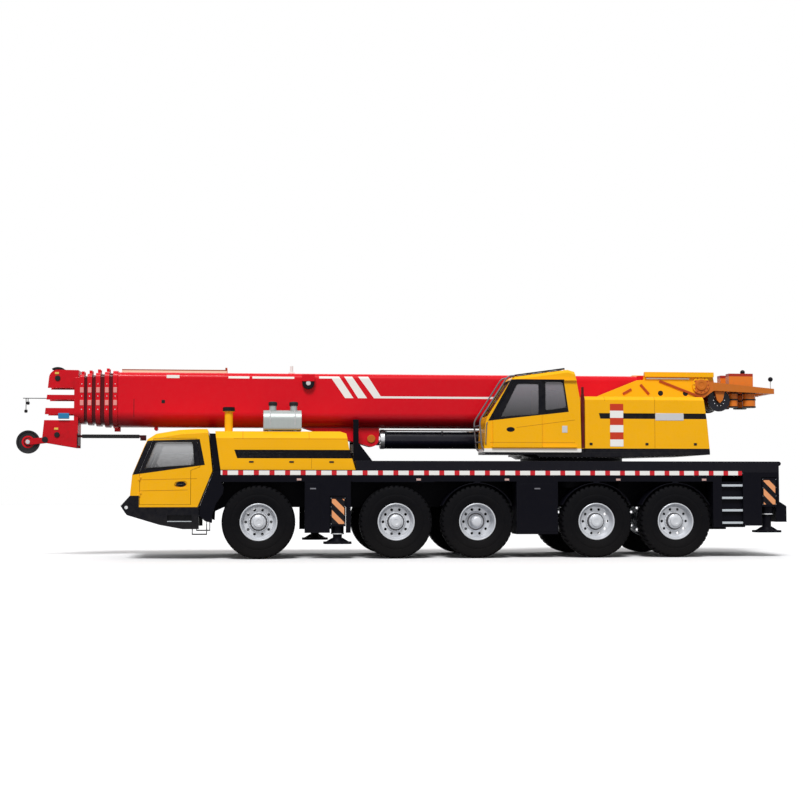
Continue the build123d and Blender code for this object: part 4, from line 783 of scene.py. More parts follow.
def rimSurfaces(centre, outward, shape):
    def place(radius, angle, out):
        x, z = centre[0] + radius * np.cos(angle), centre[2] + radius * np.sin(angle)
        return np.stack(np.broadcast_arrays(x, centre[1] + outward * out, z), -1)

    surfaces = []
    for profile in (rimEdge + shape["barrel"], shape["hub"]):
        radius, out = np.array(profile).T[:, :, None]
        faces = gridFaces(len(profile), 72)
        surfaces.append((place(radius, fullTurn(72), out), faces if outward < 0 else faces[:, ::-1]))
    # the disc's sectors, each a square ring drawn from the sector's edge in to a round hand hole
    count, sides = disc["holes"], disc["sides"]
    c, s = np.cos(fullTurn(sides)), np.sin(fullTurn(sides))
    square = 1 / np.maximum(np.abs(c), np.abs(s))
    middle, halfBand = (disc["inner"] + disc["outer"]) / 2, (disc["outer"] - disc["inner"]) / 2
    edge = np.stack([middle + halfBand * c * square, np.pi / count * s * square])
    hole = np.stack([middle + disc["holeRadius"] * c, disc["holeRadius"] * s / middle])
    blend = np.linspace(0, 1, disc["steps"])[:, None, None]
    rows = np.concatenate([edge * (1 - blend) + hole * blend, hole[None], hole[None]])
    out = shape["disc"] - np.array([0.0] * disc["steps"] + list(disc["depths"]))[:, None]
    points = place(rows[:, 0], rows[:, 1] + fullTurn(count)[:, None, None], out)
    faces = gridFaces(len(rows), sides) + (np.arange(count) * len(rows) * sides)[:, None, None]
    faces = faces.reshape(-1, 4)
    surfaces.append((points, faces if outward > 0 else faces[:, ::-1]))
    # wheel nuts and the hub cover's bolts
    for (ring, level), many, size in ((shape["nuts"], 20, 0.0125), (shape["capBolts"], 12, 0.008)):
        heads = place(ring, fullTurn(many) + 0.1, level)
        surfaces.append(boltHeads(heads, (0, outward, 0), size, size * 1.3))
    return surfaces


for number, (x, driven) in axles.items():
    for outward, word in ((-1, "left"), (1, "right")):
        body = f"wheel_{number}_{word}"
        centre = (x, outward * wheel["centreY"], wheel["radius"])
        tyre = meshPiece(f"tyre_{number}_{word}", body, "tyreRubber", [tyreSurface(centre, outward)], 32)
        rim = meshPiece(f"rim_{number}_{word}", body, "rimSilver",
                        rimSurfaces(centre, outward, rimShapes[driven]), 32)
        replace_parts(tyre, body)
        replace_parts(rim, body)
print("wheels made")


def bars(name, body, finish, paths, radius, bend=0.05, sides=10, closed=False):
    # Round bars, each carried along a bent path
    surfaces = [tube(bentPath(corners, bend, closed), radius, sides, closed) for corners in paths]
    return meshPiece(name, body, finish, surfaces, 40)


def blocks(name, body, finish, corners, bevel=0.004):
    # Blocks, each given by two opposite corners
    return meshPiece(name, body, finish, [slab(low, high, bevel) for low, high in corners])


def plates(name, body, finish, outlines, bevel=0.003):
    # Plates, each an (x, z) outline carried from one y to another
    return meshPiece(name, body, finish, [plate(*shape, bevel) for shape in outlines])


def turnings(name, body, finish, shapes, sides=32, closed=False):
    # Turned shapes, each a profile with its centre and axis
    return meshPiece(name, body, finish, [turned(*shape, sides, closed) for shape in shapes])


def bolts(name, body, finish, sets):
    # Bolt heads, each set a list of centres with their axis and size
    heads = [boltHeads(centres, axis, size, size * 0.75) for centres, axis, size in sets]
    return meshPiece(name, body, finish, heads)


def blockPair(x, y, z):
    # The same block on both sides
    return [((x[0], side * y[0], z[0]), (x[1], side * y[1], z[1])) for side in bothSides]


def platePair(outline, low, high):
    return [(outline, side * low, side * high) for side in bothSides]


def turnedPair(profile, x, y, z):
    # The same turned shape on both sides, facing outwards
    return [(profile, (x, side * y, z), (0, side, 0)) for side in bothSides]


def flat(*lists):
    return [entry for part in lists for entry in part]


def atY(outline, y):
    return [(x, y, z) for x, z in outline]


def ringProfile(inner, outer, low, high, bevel=0.003):
    # The closed section of a ring with small chamfers
    return [(inner, low + bevel), (inner + bevel, low), (outer - bevel, low), (outer, low + bevel),
            (outer, high - bevel), (outer - bevel, high), (inner + bevel, high), (inner, high - bevel)]


def circleOf(centre, radius, count, plane="xz"):
    # Points spaced evenly round a circle
    points = np.tile(np.asarray(centre, float), (count, 1))
    for letter, share in zip(plane, (np.cos(fullTurn(count)), np.sin(fullTurn(count)))):
        points[:, "xyz".index(letter)] += radius * share
    return points


def sideCircles(x, y, z, radius, count, size):
    # Sets of bolts round a circle on both sides
    return [(circleOf((x, side * y, z), radius, count), (0, side, 0), size) for side in bothSides]


def panePoint(pane, y, z, off=0.0):
    # On a leaning pane, off metres in front of it
    (x, foot), lean, (outX, outZ) = pane["foot"], pane["lean"], pane["out"]
    return (x + (z - foot) * lean - outX * off, y, z + outZ * off)


def paneLoop(pane):
    return [panePoint(pane, y, z) for y, z in rectangle(*pane["y"], *pane["z"])]


def wiper(pane, foot, low, bend, tip, half):
    # An arm from its foot to the tip, and the blade across its end, half the blade's size each way
    arm = [panePoint(pane, foot, low), panePoint(pane, foot, bend, 0.035), panePoint(pane, *tip, 0.03)]
    return [arm, [panePoint(pane, tip[0] + way * half[0], tip[1] + way * half[1], off)
                  for way, off in ((-1, 0.018), (0, 0.024), (1, 0.018))]]


strip = {"outline": roundedOutline(-3.755, 6.905, 1.672, 1.762, 0.006), "y": (1.481, 1.484)}
plates("marker_strips", "carrier", "markerStrip", platePair(strip["outline"], *strip["y"]), 0.001)

door = {
    "window": [(-5.262, 1.795), (-4.265, 1.865), (-4.3, 2.34), (-5.04, 2.34)], "y": 1.449, "seal": 0.013,
    "handle": [(-4.645, 1.436, 1.468), (-4.625, 1.449, 1.47), (-4.455, 1.449, 1.49),
               (-4.435, 1.436, 1.492)],
}
for side, word in ((-1, "left"), (1, "right")):
    bars(f"doorSeal_{word}", f"carrier_door_{word}", "rubberBlack",
         [atY(door["window"], side * door["y"])], door["seal"], bend=0.06, sides=8, closed=True)
    bars(f"doorHandle_{word}", f"carrier_door_{word}", "glossBlack",
         [[(x, side * y, z) for x, y, z in door["handle"]]], 0.011, bend=0.02)

screen = {"foot": (-5.49, 1.67), "lean": 0.40845, "out": (0.926, 0.378), "y": (-1.26, 1.26),
          "z": (1.745, 2.31)}
bars("screenSeal", "carrier", "rubberBlack", [paneLoop(screen)], 0.013, bend=0.07, sides=8, closed=True)
wipers = [wiper(screen, foot, 1.7, 1.71, (foot + 0.3, 2.0), (0.14, 0.2)) for foot in (-0.78, 0.12)]
bars("wipers", "carrier", "glossBlack", flat(*wipers), 0.009, bend=0.03)

front = {"foot": (-5.53, 1.26), "lean": 0.09756, "out": (0, 0), "low": 1.31, "high": 1.6, "slats": 7}
low, high = [(panePoint(front, 0, z)[0], z) for z in (front["low"] - 0.02, front["high"] + 0.02)]
grille = [([(low[0] - 0.006, low[1]), (high[0] - 0.006, high[1]), (high[0] + 0.012, high[1]),
            (low[0] + 0.012, low[1])], -0.92, 0.92)]
for z in np.linspace(front["low"], front["high"] - 0.02, front["slats"]):
    x = panePoint(front, 0, z)[0]
    grille.append(([(x - 0.03, z), (x - 0.004, z + 0.016), (x - 0.004, z + 0.024), (x - 0.03, z + 0.008)],
                   -0.88, 0.88))
plates("frontGrille", "carrier", "glossBlack", grille)
x = panePoint(front, 0, 1.4)[0]
blocks("frontNumberPlate", "carrier", "whitePaint", [((x - 0.04, -0.26, 1.345), (x - 0.03, 0.26, 1.455))])

# the bumper's face, which leans back from its tip
bumper = {"tip": (-5.712, 1.06), "down": (0.5611, -0.8278), "out": (-0.8278, -0.5611), "lampDown": 0.097,
          "lampY": (0.985, 1.175), "corner": (-5.6, 1.446, 1.03),
          "bezels": ((0.872, 0.897), (1.068, 1.092), (1.283, 1.308))}


def bumperPoint(down, y, off=0.0):
    # On the bumper's front face, down metres below its tip and off metres in front of it
    (x, z), way, out = bumper["tip"], bumper["down"], bumper["out"]
    return (x + way[0] * down + out[0] * off, y, z + way[1] * down + out[1] * off)


rings, lenses = [], []
outward = (bumper["out"][0], 0, bumper["out"][1])
lampRing = ringProfile(0.048, 0.062, 0.0, 0.016)
lampLens = [(0.047, 0.0), (0.044, 0.008), (0.03, 0.014), (0.0, 0.017)]
for y in [side * y for side in bothSides for y in bumper["lampY"]]:
    rings.append((lampRing, bumperPoint(bumper["lampDown"], y, 0.008), outward))
    lenses.append((lampLens, bumperPoint(bumper["lampDown"], y, 0.01), outward))
rings += turnedPair(ringProfile(0.024, 0.034, 0.0, 0.01), *bumper["corner"])
turnings("lampRings", "carrier", "chromedRod", rings, sides=28, closed=True)
turnings("lampLenses", "carrier", "clearLamp", lenses, sides=28)
turnings("cornerLenses", "carrier", "clearLamp",
         turnedPair([(0.025, 0.0), (0.022, 0.008), (0.0, 0.012)], *bumper["corner"]), sides=20)
bezel = [bumperPoint(down, 0, off)[::2] for down, off in rectangle(-0.01, 0.2, 0.0, 0.01)]
plates("lampBezels", "carrier", "glossBlack", flat(*[platePair(bezel, *y) for y in bumper["bezels"]]))


def cushionSurface(centre, along, up, half, radius=0.028, crown=0.016, channels=(-0.45, 0.45), steps=29):
    # A rounded box with a crowned front: p on a cube's faces, q = p clipped to the inner box and
    # point = q + radius (p - q) / |p - q|. The front rises by crown (1 - a^2)(1 - b^2), and each sewn
    # channel at a = c sinks it by 0.4 crown exp(-((a - c) / 0.07)^2)
    half, along, up = [np.asarray(vector, float) for vector in (half, along, up)]
    along, up = along / np.linalg.norm(along), up / np.linalg.norm(up)
    ways = np.stack([along, np.cross(up, along), up])
    a, b = np.meshgrid(np.linspace(-1, 1, steps), np.linspace(-1, 1, steps), indexing="ij")
    sheets, faces = [], []
    for axis in range(3):
        for sign in (-1, 1):
            cube = np.empty(a.shape + (3,))
            cube[..., axis], cube[..., (axis + 1) % 3], cube[..., (axis + 2) % 3] = sign, a, b
            corner = cube * half
            inner = np.clip(corner, radius - half, half - radius)
            lean = corner - inner
            place = inner + radius * lean / np.linalg.norm(lean, axis=-1, keepdims=True)
            if axis == 2:
                sunk = sum(np.exp(-((a - at) / 0.07) ** 2) for at in channels)
                place[..., 2] += sign * crown * (1 - a * a) * (1 - b * b) * (1 - 0.4 * sunk)
            quads = gridFaces(steps, steps, closeColumns=False) + len(sheets) * steps * steps
            faces.append(quads if sign > 0 else quads[:, ::-1])
            sheets.append(place.reshape(-1, 3))
    points = np.concatenate(sheets)
    first, back = np.unique(np.round(points, 6), axis=0, return_index=True, return_inverse=True)[1:]
    return points[first] @ ways + np.asarray(centre, float), back.reshape(-1)[np.concatenate(faces)]


# cushions over the seats' solids: centre, direction along, facing, half sizes
padShape = ((1, 0, -0.02), (0.02, 0, 1), (0.283, 0.262, 0.077))
backShape = ((0.1865, 0, 0.9825), (-0.9825, 0, 0.1865), (0.352, 0.242, 0.078))
seats = {
    "seatPad_left": ("carrier", (-4.56, -0.84, 1.392), *padShape),
    "seatBack_left": ("carrier", (-4.29, -0.84, 1.786), *backShape),
    "seatPad_right": ("carrier", (-4.56, 0.84, 1.392), *padShape),
    "seatBack_right": ("carrier", (-4.29, 0.84, 1.786), *backShape),
    "operatorPad": ("superstructure", (2.69, -1.045, 2.58), (1, 0, 0), (0, 0, 1), (0.282, 0.232, 0.073)),
    "operatorBack": ("superstructure", (2.977, -1.045, 2.985), (0.145, 0, 0.989), (-0.989, 0, 0.145),
                     (0.354, 0.222, 0.074)),
}
for name, (body, *shape) in seats.items():
    meshPiece(name, body, "seatCloth", [cushionSurface(*shape)], 60)

hood = {"x": (-3.44, -1.15), "z": (2.03, 2.15), "slats": 5, "latches": (-3.15, -2.35, -1.55),
        "latchZ": (1.919, 1.951)}
blocks("hoodLouvres", "carrier", "glossBlack", flat(*[
    blockPair((hood["x"][0], hood["x"][1] + 0.01 * (2.1 - z)), (1.425, 1.442), (z - 0.006, z + 0.006))
    for z in np.linspace(*hood["z"], hood["slats"])]), 0.003)
blocks("hoodLatches", "carrier", "capBlack", flat(*[
    blockPair((x - 0.045, x + 0.045), (1.443, 1.455), hood["latchZ"]) for x in hood["latches"]]))

muffler = {"strap": rectangle(-1.364, -0.756, 2.568, 2.984), "straps": (-2.78, -2.28), "pipes": (-2.72, -2.3)}
mufflerCap = [(0.077, -0.055), (0.088, -0.055), (0.09, 0.0), (0.084, 0.018), (0.05, 0.03), (0.0, 0.034)]
straps = [[(x, y, z) for y, z in muffler["strap"]] for x in muffler["straps"]]
bars("mufflerStraps", "carrier", "plateSilver", straps, 0.012, bend=0.2, sides=6, closed=True)
turnings("mufflerCaps", "carrier", "capBlack", [
    (mufflerCap, (x, -1.06, 3.13), (0, 0, 1)) for x in muffler["pipes"]])
turnings("intakeRings", "carrier", "capBlack", [
    (ringProfile(0.11, 0.126, low, low + 0.012, 0.002), (-3.605, -1.09, 2.95), (0, 0, 1))
    for low in (0.008, 0.032, 0.056)], closed=True)

# locker doors with a handle each: on both sides, and one more on the left
lockers = [((2.235, 3.015, 0.53, 1.5), 2), ((-2.06, -1.78, 0.56, 1.5), 1)]
lockerDoors, lockerHandles = [], []
for box, count in lockers:
    x, z = 0.5 * (box[0] + box[1]), box[3] - 0.1
    lockerDoors += platePair(roundedOutline(*box, 0.03, 4), 1.478, 1.486)[:count]
    lockerHandles += blockPair((x - 0.06, x + 0.06), (1.484, 1.4915), (z - 0.015, z + 0.015))[:count]
plates("lockerDoors", "carrier", "chassisBlack", lockerDoors)
blocks("lockerHandles", "carrier", "railGrey", lockerHandles)

# treads on the rear rungs, and the plate on the upper cab
rungs = {"x": (6.482, 6.918), "y": (1.428, 1.466), "low": 0.7, "pitch": 0.255, "count": 5}
blocks("rungTreads", "carrier", "stepGrey", flat(*[
    blockPair(rungs["x"], rungs["y"], (z - 0.024, z + 0.024))
    for z in rungs["low"] + rungs["pitch"] * np.arange(rungs["count"])]), 0.005)
blocks("upperPlate", "superstructure", "plateSilver", [((3.15, -1.4535, 2.54), (3.26, -1.448, 2.68))],
       0.001)

# lamps and the plate at the rear, and the slewing ring's bolts
for finish, y in {"redLamp": (0.86, 1.0), "amberLamp": (1.02, 1.14), "clearLamp": (1.16, 1.26)}.items():
    blocks(f"rear_{finish}", "carrier", finish, blockPair((7.868, 7.884), y, (0.855, 0.965)), 0.005)
blocks("rearNumberPlate", "carrier", "whitePaint", [((7.698, -0.26, 1.35), (7.706, 0.26, 1.46))])
bolts("ringBolts", "carrier", "ladderSteel", [
    (circleOf((3.65, 0, 2.04), 1.066, 72, "xy"), (0, 0, 1), 0.011)])

# outriggers: hazard plates and bolts on the beams' ends, guide rings, ribs on the floats
outriggers = [("front_left", -1.42, -1, 0.65, 0.34), ("front_right", -1.75, 1, 0.65, 0.34),
              ("rear_left", 7.48, -1, 1.03, 0.545), ("rear_right", 7.15, 1, 1.03, 0.545)]
guide = ringProfile(0.094, 0.136, -0.012, 0.01)
for name, x, side, low, floatTop in outriggers:
    beam, jackY = f"outrigger_beam_{name}", side * 1.29
    sign = roundedOutline(x - 0.125, x + 0.125, low + 0.045, low + 0.545, 0.01)
    plates(f"hazard_{name}", beam, "hazardLeft", [(sign, side * 1.488, side * 1.4915)])
    bolts(f"beamBolts_{name}", beam, "ladderSteel", [(
        [(x + dx, side * 1.487, low + dz) for dx in (-0.138, 0.138) for dz in (0.05, 0.22, 0.39, 0.56)],
        (0, side, 0), 0.006)])
    turnings(f"guideRing_{name}", beam, "ladderSteel", [(guide, (x, jackY, low - 0.15), (0, 0, 1))],
             sides=40, closed=True)
    rib = [(x - 0.24, floatTop - 0.004), (x + 0.24, floatTop - 0.004), (x + 0.11, floatTop + 0.075),
           (x - 0.11, floatTop + 0.075)]
    plates(f"floatRibs_{name}", f"outrigger_jack_{name}", "chassisBlack", [
        (rib, jackY - 0.01, jackY + 0.01)])
print("carrier details made")

upperCab = {
    "door": [(1.87, 2.85), (2.67, 2.905), (2.67, 3.54), (2.215, 3.54)],
    "rear": [(2.8, 2.98), (3.26, 3.05), (3.18, 3.59), (2.8, 3.59)],
    "handrail": [(1.58, -1.455, 2.3), (1.57, -1.478, 2.32), (1.59, -1.478, 2.72), (1.61, -1.455, 2.74)],
    "guard": [(1.56, 2.17), (1.5, 2.23), (1.455, 2.78), (2.04, 3.69), (2.17, 3.7)],
    "guardY": (-1.425, -0.665), "guardBars": ((1.49, 2.35), (1.463, 2.68)),
}
upperScreen = {"foot": (1.6, 2.84), "lean": 0.6506, "out": (0.838, 0.545), "y": (-1.36, -0.73),
               "z": (2.89, 3.6)}
bars("upperDoorSeal", "operator_door", "rubberBlack", [atY(upperCab["door"], -1.482)],
     0.0105, bend=0.06, sides=8, closed=True)
seals = [atY(upperCab[window], y) for window, y in (("rear", -1.443), ("rear", -0.64), ("door", -0.64))]
bars("upperSeals", "superstructure", "rubberBlack", [*seals, paneLoop(upperScreen)], 0.012,
     bend=0.06, sides=8, closed=True)
bars("upperWiper", "superstructure", "glossBlack",
     wiper(upperScreen, -1.05, 2.86, 2.865, (-0.95, 3.2), (0.05, 0.22)), 0.008, bend=0.03)
guards = [atY(upperCab["guard"], y) for y in upperCab["guardY"]]
guards += [[(x, y, z) for y in upperCab["guardY"]] for x, z in upperCab["guardBars"]]
bars("upperGuards", "superstructure", "railGrey", guards, 0.016, bend=0.08)
bars("upperHandrail", "superstructure", "railGrey", [upperCab["handrail"]], 0.011, bend=0.03)

housing = {"ladder": roundedOutline(4.16, 4.44, 2.26, 3.14, 0.012), "latchY": (1.397, 1.412),
           "plate": roundedOutline(5.11, 5.71, 2.8, 2.95, 0.015), "latches": (3.76, 4.93, 5.95),
           "latchZ": (2.291, 2.339), "louvreX": (3.05, 4.0), "louvreZ": (2.4, 2.76), "louvres": 9}
plates("housingHazard", "superstructure", "hazardBars", platePair(housing["ladder"], 1.398, 1.404))
plates("housingPlate", "superstructure", "plateSilver", platePair(housing["plate"], 1.388, 1.405))
blocks("housingLatches", "superstructure", "capBlack", flat(*[
    blockPair((x - 0.03, x + 0.03), housing["latchY"], housing["latchZ"]) for x in housing["latches"]]))
plates("housingLouvres", "superstructure", "capBlack", [
    (roundedOutline(*housing["louvreX"], z, z + 0.022, 0.008), 1.397, 1.41)
    for z in np.linspace(*housing["louvreZ"], housing["louvres"])])

# side plates of the slewing frame: struts, beams, trays, black discs as painted shade of holes, and pin caps
struts = [(5.45, 3.68, 6.4, 3.32), (4.66, 3.4, 4.84, 3.5), (5.04, 3.6, 5.22, 3.4)]
pivot = {"x": 6.35, "z": 3.6, "cap": [
    (0.118, 0.0), (0.118, 0.016), (0.11, 0.024), (0.06, 0.026), (0.052, 0.018), (0.0, 0.018)]}
plates("frameStruts", "superstructure", "strutBrown", flat(*[
    platePair(widened(*strut, 0.048), 0.522, 0.548) for strut in struts]))
plates("frameBeams", "superstructure", "frameYellow",
       platePair(roundedOutline(5.12, 6.62, 3.76, 3.866, 0.01), 0.52, 0.585))
plates("frameTrays", "superstructure", "plateSilver",
       platePair(roundedOutline(5.16, 6.1, 3.715, 3.745, 0.01), 0.52, 0.55))
# black discs on the plates: painted shade where holes would show
turnings("frameHoleShades", "superstructure", "capBlack", flat(*[
    turnedPair([(0.058, 0.0), (0.052, 0.006), (0.0, 0.006)], x, 0.524, 3.42) for x in (5.475, 6.016)]))
turnings("pivotCaps", "superstructure", "pivotOrange",
         turnedPair(pivot["cap"], pivot["x"], 0.559, pivot["z"]))
bolts("pivotBolts", "superstructure", "strutBrown",
      sideCircles(pivot["x"], 0.558, pivot["z"], 0.155, 12, 0.014))

# winch: the rope's turns ripple the drum, r = radius + ripple * |sin(pi * turns * share of the width)|
winch = {"x": 6.785, "z": 3.285, "half": 0.375, "turns": 34, "core": 0.165, "radius": 0.196,
         "ripple": 0.008}
along = np.linspace(-winch["half"], winch["half"], winch["turns"] * 6 + 1)
ripple = np.abs(np.sin(np.pi * winch["turns"] * (along + winch["half"]) / (2 * winch["half"])))
profile = np.stack([winch["radius"] + winch["ripple"] * ripple, along], 1)
profile = [(winch["core"], along[0]), *profile, (winch["core"], along[-1])]
turnings("winchRope", "winch", "ropeSteel", [(profile, (winch["x"], 0, winch["z"]), (0, 1, 0))], sides=48)
turnings("winchRims", "winch", "cylinderBlack",
         turnedPair(ringProfile(0.215, 0.24, -0.014, 0.012), winch["x"], 0.39, winch["z"]),
         sides=48, closed=True)
bolts("winchBolts", "winch", "ladderSteel", sideCircles(winch["x"], 0.4, winch["z"], 0.12, 10, 0.012))

# ballast lift: collars and hoses, the black ball on top, and the tail's ball on its stalk
lift = {"columns": ((7.13, 0.095), (7.48, 0.135)), "y": 0.3, "collars": (3.135, 3.29, 3.43),
        "hose": [(7.05, 0.44, 3.5), (7.3, 0.44, 3.56), (7.6, 0.4, 3.545), (7.88, 0.3, 3.535)],
        "balls": ((7.35, -0.29, 3.895), (7.898, -0.48, 3.735))}
turnings("liftCollars", "superstructure", "capBlack", [
    (ringProfile(radius - 0.004, radius + 0.01, low, low + 0.028), (x, side * lift["y"], 0), (0, 0, 1))
    for side in bothSides for x, radius in lift["columns"] for low in lift["collars"]], sides=36, closed=True)
ball = [(0.0, -0.052), (0.02, -0.048), (0.037, -0.037), (0.048, -0.02), (0.052, 0.0), (0.048, 0.02),
        (0.037, 0.037), (0.02, 0.048), (0.0, 0.052)]
turnings("tailBalls", "superstructure", "glossBlack", [
    (ball, place, (0, 0, 1)) for place in lift["balls"]], sides=24)
bars("tailStalk", "superstructure", "plateSilver", [[(7.898, -0.48, 3.51), (7.898, -0.48, 3.69)]], 0.01,
     sides=8)
bars("liftHoses", "superstructure", "capBlack", [
    [(x, side * y, z) for x, y, z in lift["hose"]] for side in bothSides], 0.016, bend=0.1)
print("superstructure details made")

# pink plates as painted highlights, and bolts, on the collar at the mouth of each section
boom = {"half": 0.458, "top": 3.818, "step": 0.022, "fronts": (-5.97, -6.14, -6.32, -6.49, -6.65)}
for level, x in enumerate(boom["fronts"]):
    body = f"telescope_{level}" if level else "boom_base"
    outer, top = boom["half"] - level * boom["step"], boom["top"] - level * boom["step"]
    highlightX, highlightY, boltX = (x + 0.012, x + 0.083), (outer - 0.004, outer + 0.008), x + 0.047
    blocks(f"collarHighlights_{level}", body, "paintedHighlightPink", flat(*[
        blockPair(highlightX, highlightY, (z, z + 0.11)) for z in (3.1, 3.36)]))
    rows = [([(boltX, side * outer, z) for z in (3.02, 3.29, 3.54)], (0, side, 0), 0.011)
            for side in bothSides]
    rows.append(([(boltX, y, top) for y in (-0.24, 0.24)], (0, 0, 1), 0.011))
    bolts(f"collarBolts_{level}", body, "ladderSteel", rows)

reel = {"x": -1.98, "z": 3.58, "rings": (0.44, 0.466, 0.492)}
turnings("reelRings", "boom_base", "capBlack", [
    (ringProfile(0.095, 0.124, low, low + 0.018, 0.004), (reel["x"], 0, reel["z"]), (0, -1, 0))
    for low in reel["rings"]], sides=40, closed=True)
reelHub = [(0.05, 0.0), (0.048, 0.01), (0.02, 0.014), (0.0, 0.014)]
turnings("reelHub", "boom_base", "plateSilver", [
    (reelHub, (reel["x"], -0.519, reel["z"]), (0, -1, 0))], sides=24)
blocks("boomMarks", "boom_base", "capBlack",
       blockPair((-4.985, -4.915), (0.428, 0.4325), (3.15, 3.22)), 0.001)
blocks("boomPlates", "boom_base", "whitePaint",
       blockPair((-4.886, -4.623), (0.428, 0.433), (3.668, 3.734)), 0.001)

# luffing cylinder: caps on the lug's pin, the gland with its bolts, and the pipe on the barrel
luffZ = 2.44
turnings("lugPinCaps", "boom_base", "pivotOrange",
         turnedPair([(0.086, 0.0), (0.086, 0.012), (0.078, 0.02), (0.0, 0.02)], -0.65, 0.22, luffZ))
turnings("glandRing", "luffing_barrel", "ladderSteel", [
    (ringProfile(0.1305, 0.206, -0.03, 0.06), (-0.42, 0, luffZ), (1, 0, 0))], sides=48, closed=True)
bolts("glandBolts", "luffing_barrel", "ladderSteel", [
    (circleOf((-0.45, 0, luffZ), 0.176, 12, "yz"), (-1, 0, 0), 0.012)])
bars("luffPipe", "luffing_barrel", "chromedRod", [[(-0.35, -0.165, 2.598), (3.23, -0.165, 2.598)]], 0.0245,
     sides=14)


def mirroredProfile(half):
    # A closed section from its lower half, turned over for the upper
    return half + [(radius, -level) for radius, level in half[::-1]]


head = {"x": -7.1, "upperZ": 3.66, "lowerZ": 2.5, "sheaves": 0.088 * np.arange(-2, 3), "guard": 0.232,
        "tip": (-7.715, 2.36)}
sheave = mirroredProfile([(0.046, -0.02), (0.074, -0.022), (0.08, -0.009), (0.146, -0.009), (0.158, -0.022),
                          (0.182, -0.022), (0.185, -0.018), (0.166, -0.003)])
spacer = [(0.0455, -0.255), (0.06, -0.255), (0.06, 0.255), (0.0455, 0.255)]
for word, z in (("upper", head["upperZ"]), ("lower", head["lowerZ"])):
    rows = [(sheave, (head["x"], y, z), (0, 1, 0)) for y in head["sheaves"]]
    rows.append((spacer, (head["x"], 0, z), (0, 1, 0)))
    node = f"{word}_sheaves"
    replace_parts(turnings(f"{word}SheaveSet", node, "sheavePlastic", rows, sides=48, closed=True), node)
x, z = head["tip"]
rooster = mirroredProfile([(0.042, -0.028), (0.08, -0.03), (0.088, -0.01), (0.19, -0.01), (0.206, -0.028),
                           (0.236, -0.03), (0.24, -0.026), (0.214, -0.004)])
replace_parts(turnings("roosterWheel", "rooster_sheave", "sheavePlastic", [(rooster, (x, 0, z), (0, 1, 0))],
                     sides=60, closed=True), "rooster_sheave")
turnings("roosterSpots", "rooster_sheave", "sectionRed",
         turnedPair(ringProfile(0.092, 0.128, 0.009, 0.014, 0.002), x, 0, z), sides=40, closed=True)
turnings("roosterCaps", "telescope_5", "plateSilver",
         turnedPair([(0.046, 0.0), (0.044, 0.012), (0.0, 0.014)], x, 0.056, z), sides=24)
pin = [(0.056, 0.0), (0.056, 0.014), (0.048, 0.022), (0.0, 0.022)]
turnings("headPins", "telescope_5", "capBlack", [
    *turnedPair(pin, head["x"], 0.289, head["upperZ"]), *turnedPair(pin, head["x"], 0.289, head["lowerZ"]),
    *turnedPair([(0.062, 0.0), (0.062, 0.012), (0.0, 0.016)], -7.34, 0.289, 2.4)])
blocks("headMarks", "telescope_5", "yellowMark", flat(*[
    blockPair((head["x"] - 0.055, head["x"] + 0.025), (0.288, 0.3), (z, z + 0.045))
    for z in (head["upperZ"] + 0.08, head["lowerZ"] + 0.1)]))

# cover over the upper sheaves: arcs of centre + radius * (cos a, sin a), outer and inner joined at
# their ends, and a tie across them
angle = np.radians(np.linspace(5, 122, 14))
arc = np.stack([np.cos(angle), np.sin(angle)], 1)
x, z = head["x"], head["upperZ"]
cover = np.concatenate([arc * head["guard"], arc[::-1] * (head["guard"] - 0.04)]) + (x, z)
arcs = [plate(cover, *y, 0.004) for y in ((-0.28, -0.232), (0.232, 0.28), (-0.06, 0.06))]
tie = slab((x - 0.02, -0.262, z + 0.196), (x + 0.02, 0.262, z + 0.222), 0.004)
meshPiece("sheaveCover", "telescope_5", "capBlack", [*arcs, tie], 40)
blocks("jibRail", "telescope_5", "capBlack", [((-6.6, -0.25, 2.436), (-5.44, -0.18, 2.512))], 0.006)
blocks("headDevice", "telescope_5", "deviceBlue", [((-7.076, -0.288, 2.826), (-6.855, -0.345, 2.944))],
       0.01)
gauge = {"y": -0.2, "z": 3.25, "bars": [[(-7.24, 3.25), (-7.5, 3.25), (-7.8, 3.25)],
                                           [(-7.7, 3.25), (-7.7, 3.18)], [(-7.74, 3.25), (-7.74, 3.02)]],
         "cup": [(0.0, 0.035), (0.028, 0.03), (0.036, 0.0), (0.028, -0.03), (0.0, -0.035)],
         "cups": ((-7.7, 3.15), (-7.74, 2.985))}
bars("windGauge", "telescope_5", "capBlack", [atY(path, gauge["y"]) for path in gauge["bars"]],
     0.008, bend=0.02, sides=8)
turnings("windCups", "telescope_5", "capBlack", [
    (gauge["cup"], (x, gauge["y"], z), (0, 0, 1)) for x, z in gauge["cups"]], sides=20)
print("boom details made")

room = {
    "floorSeen": (0.9, 0.9, 0.91), "floorShade": (0.84, 0.84, 0.86), "floorLit": (0.24, 0.24, 0.24),
    "half": 90, "sky": (1.0, 1.0, 1.0), "skyLight": 0.45,
    "suns": {"keySun": (2.7, 18, (36, -10)), "fillSun": (0.55, 60, (-48, 18))},
}


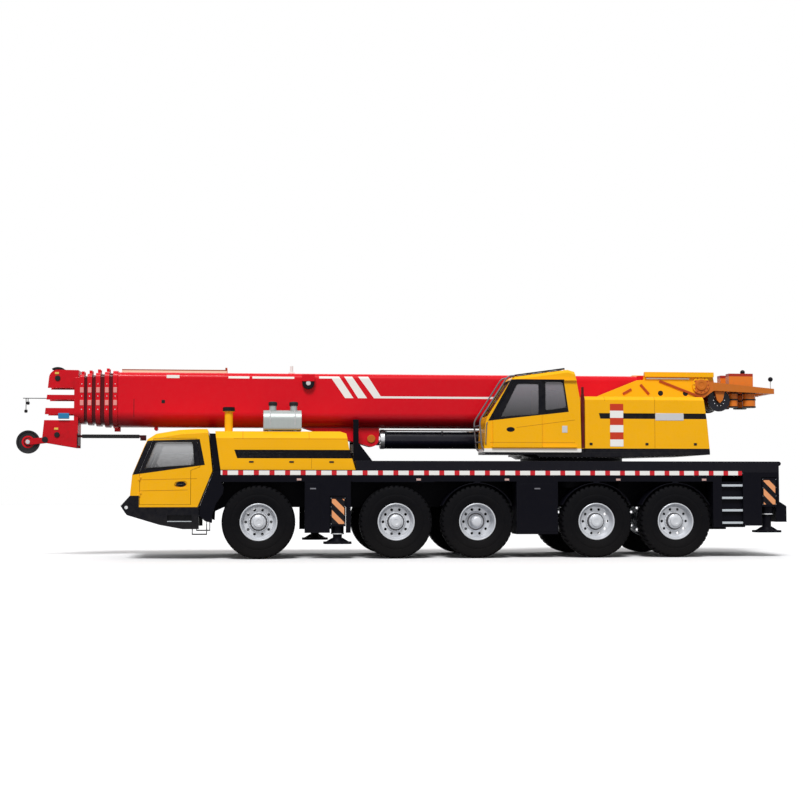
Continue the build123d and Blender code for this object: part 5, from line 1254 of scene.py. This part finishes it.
def seenDirectly(tree):
    # 1 for rays that end in the picture: straight, mirrored or through glass
    camera, glossy, through = [nodeIn(tree, "LightPath")[f"Is {kind} Ray"]
                               for kind in ("Camera", "Glossy", "Transmission")]
    return calc(tree, "MAXIMUM", calc(tree, "MAXIMUM", camera, glossy), through)


tree, shader = newMaterial("paleFloor")
speck = calc(tree, "MULTIPLY", noise(tree, 0.6, 2.0), 0.05)
pale = mixColour(tree, speck, room["floorSeen"], room["floorShade"])
fill(tree, shader, {"Base Color": mixColour(tree, seenDirectly(tree), room["floorLit"], pale),
                    "Roughness": 0.9, "Specular IOR Level": 0.1})
mesh = bpy.data.meshes.new("floor")
corners = rectangle(-room["half"], room["half"], -room["half"], room["half"])
mesh.from_pydata([(x, y, 0) for x, y in corners], [], [(0, 1, 2, 3)])
mesh.materials.append(materials["paleFloor"])
floor = bpy.data.objects.new("floor", mesh)
scene = bpy.context.scene
scene.collection.objects.link(floor)

world = bpy.data.worlds.new("paleSky")
scene.world = world
world.use_nodes = True
tree = world.node_tree
strength = calc(tree, "MULTIPLY_ADD", seenDirectly(tree), 1.0 - room["skyLight"], room["skyLight"])
fill(tree, tree.nodes["Background"], {"Color": room["sky"], "Strength": strength})

for name, (energy, spread, turn) in room["suns"].items():
    sun = bpy.data.lights.new(name, "SUN")
    sun.energy, sun.angle = energy, math.radians(spread)
    sunObject = bpy.data.objects.new(name, sun)
    sunObject.rotation_euler = (math.radians(turn[0]), math.radians(turn[1]), 0)
    scene.collection.objects.link(sunObject)

# the photo's camera, with its focal length, width and horizon in the photo's pixels
shot = {"place": (-3.3, -31.5, 1.4), "turn": 6.0, "focal": 1500, "width": 803, "horizon": 488.7}
camera = bpy.data.cameras.new("photoCamera")
camera.sensor_width = 36
camera.lens = shot["focal"] / shot["width"] * camera.sensor_width
camera.clip_end = 500
cameraObject = bpy.data.objects.new("photoCamera", camera)
cameraObject.location = shot["place"]
pitch = math.atan((shot["horizon"] - shot["width"] / 2) / shot["focal"])
cameraObject.rotation_euler = (math.radians(90) + pitch, 0, math.radians(-shot["turn"]))
scene.collection.objects.link(cameraObject)
scene.camera = cameraObject
scene.view_settings.view_transform = "Standard"
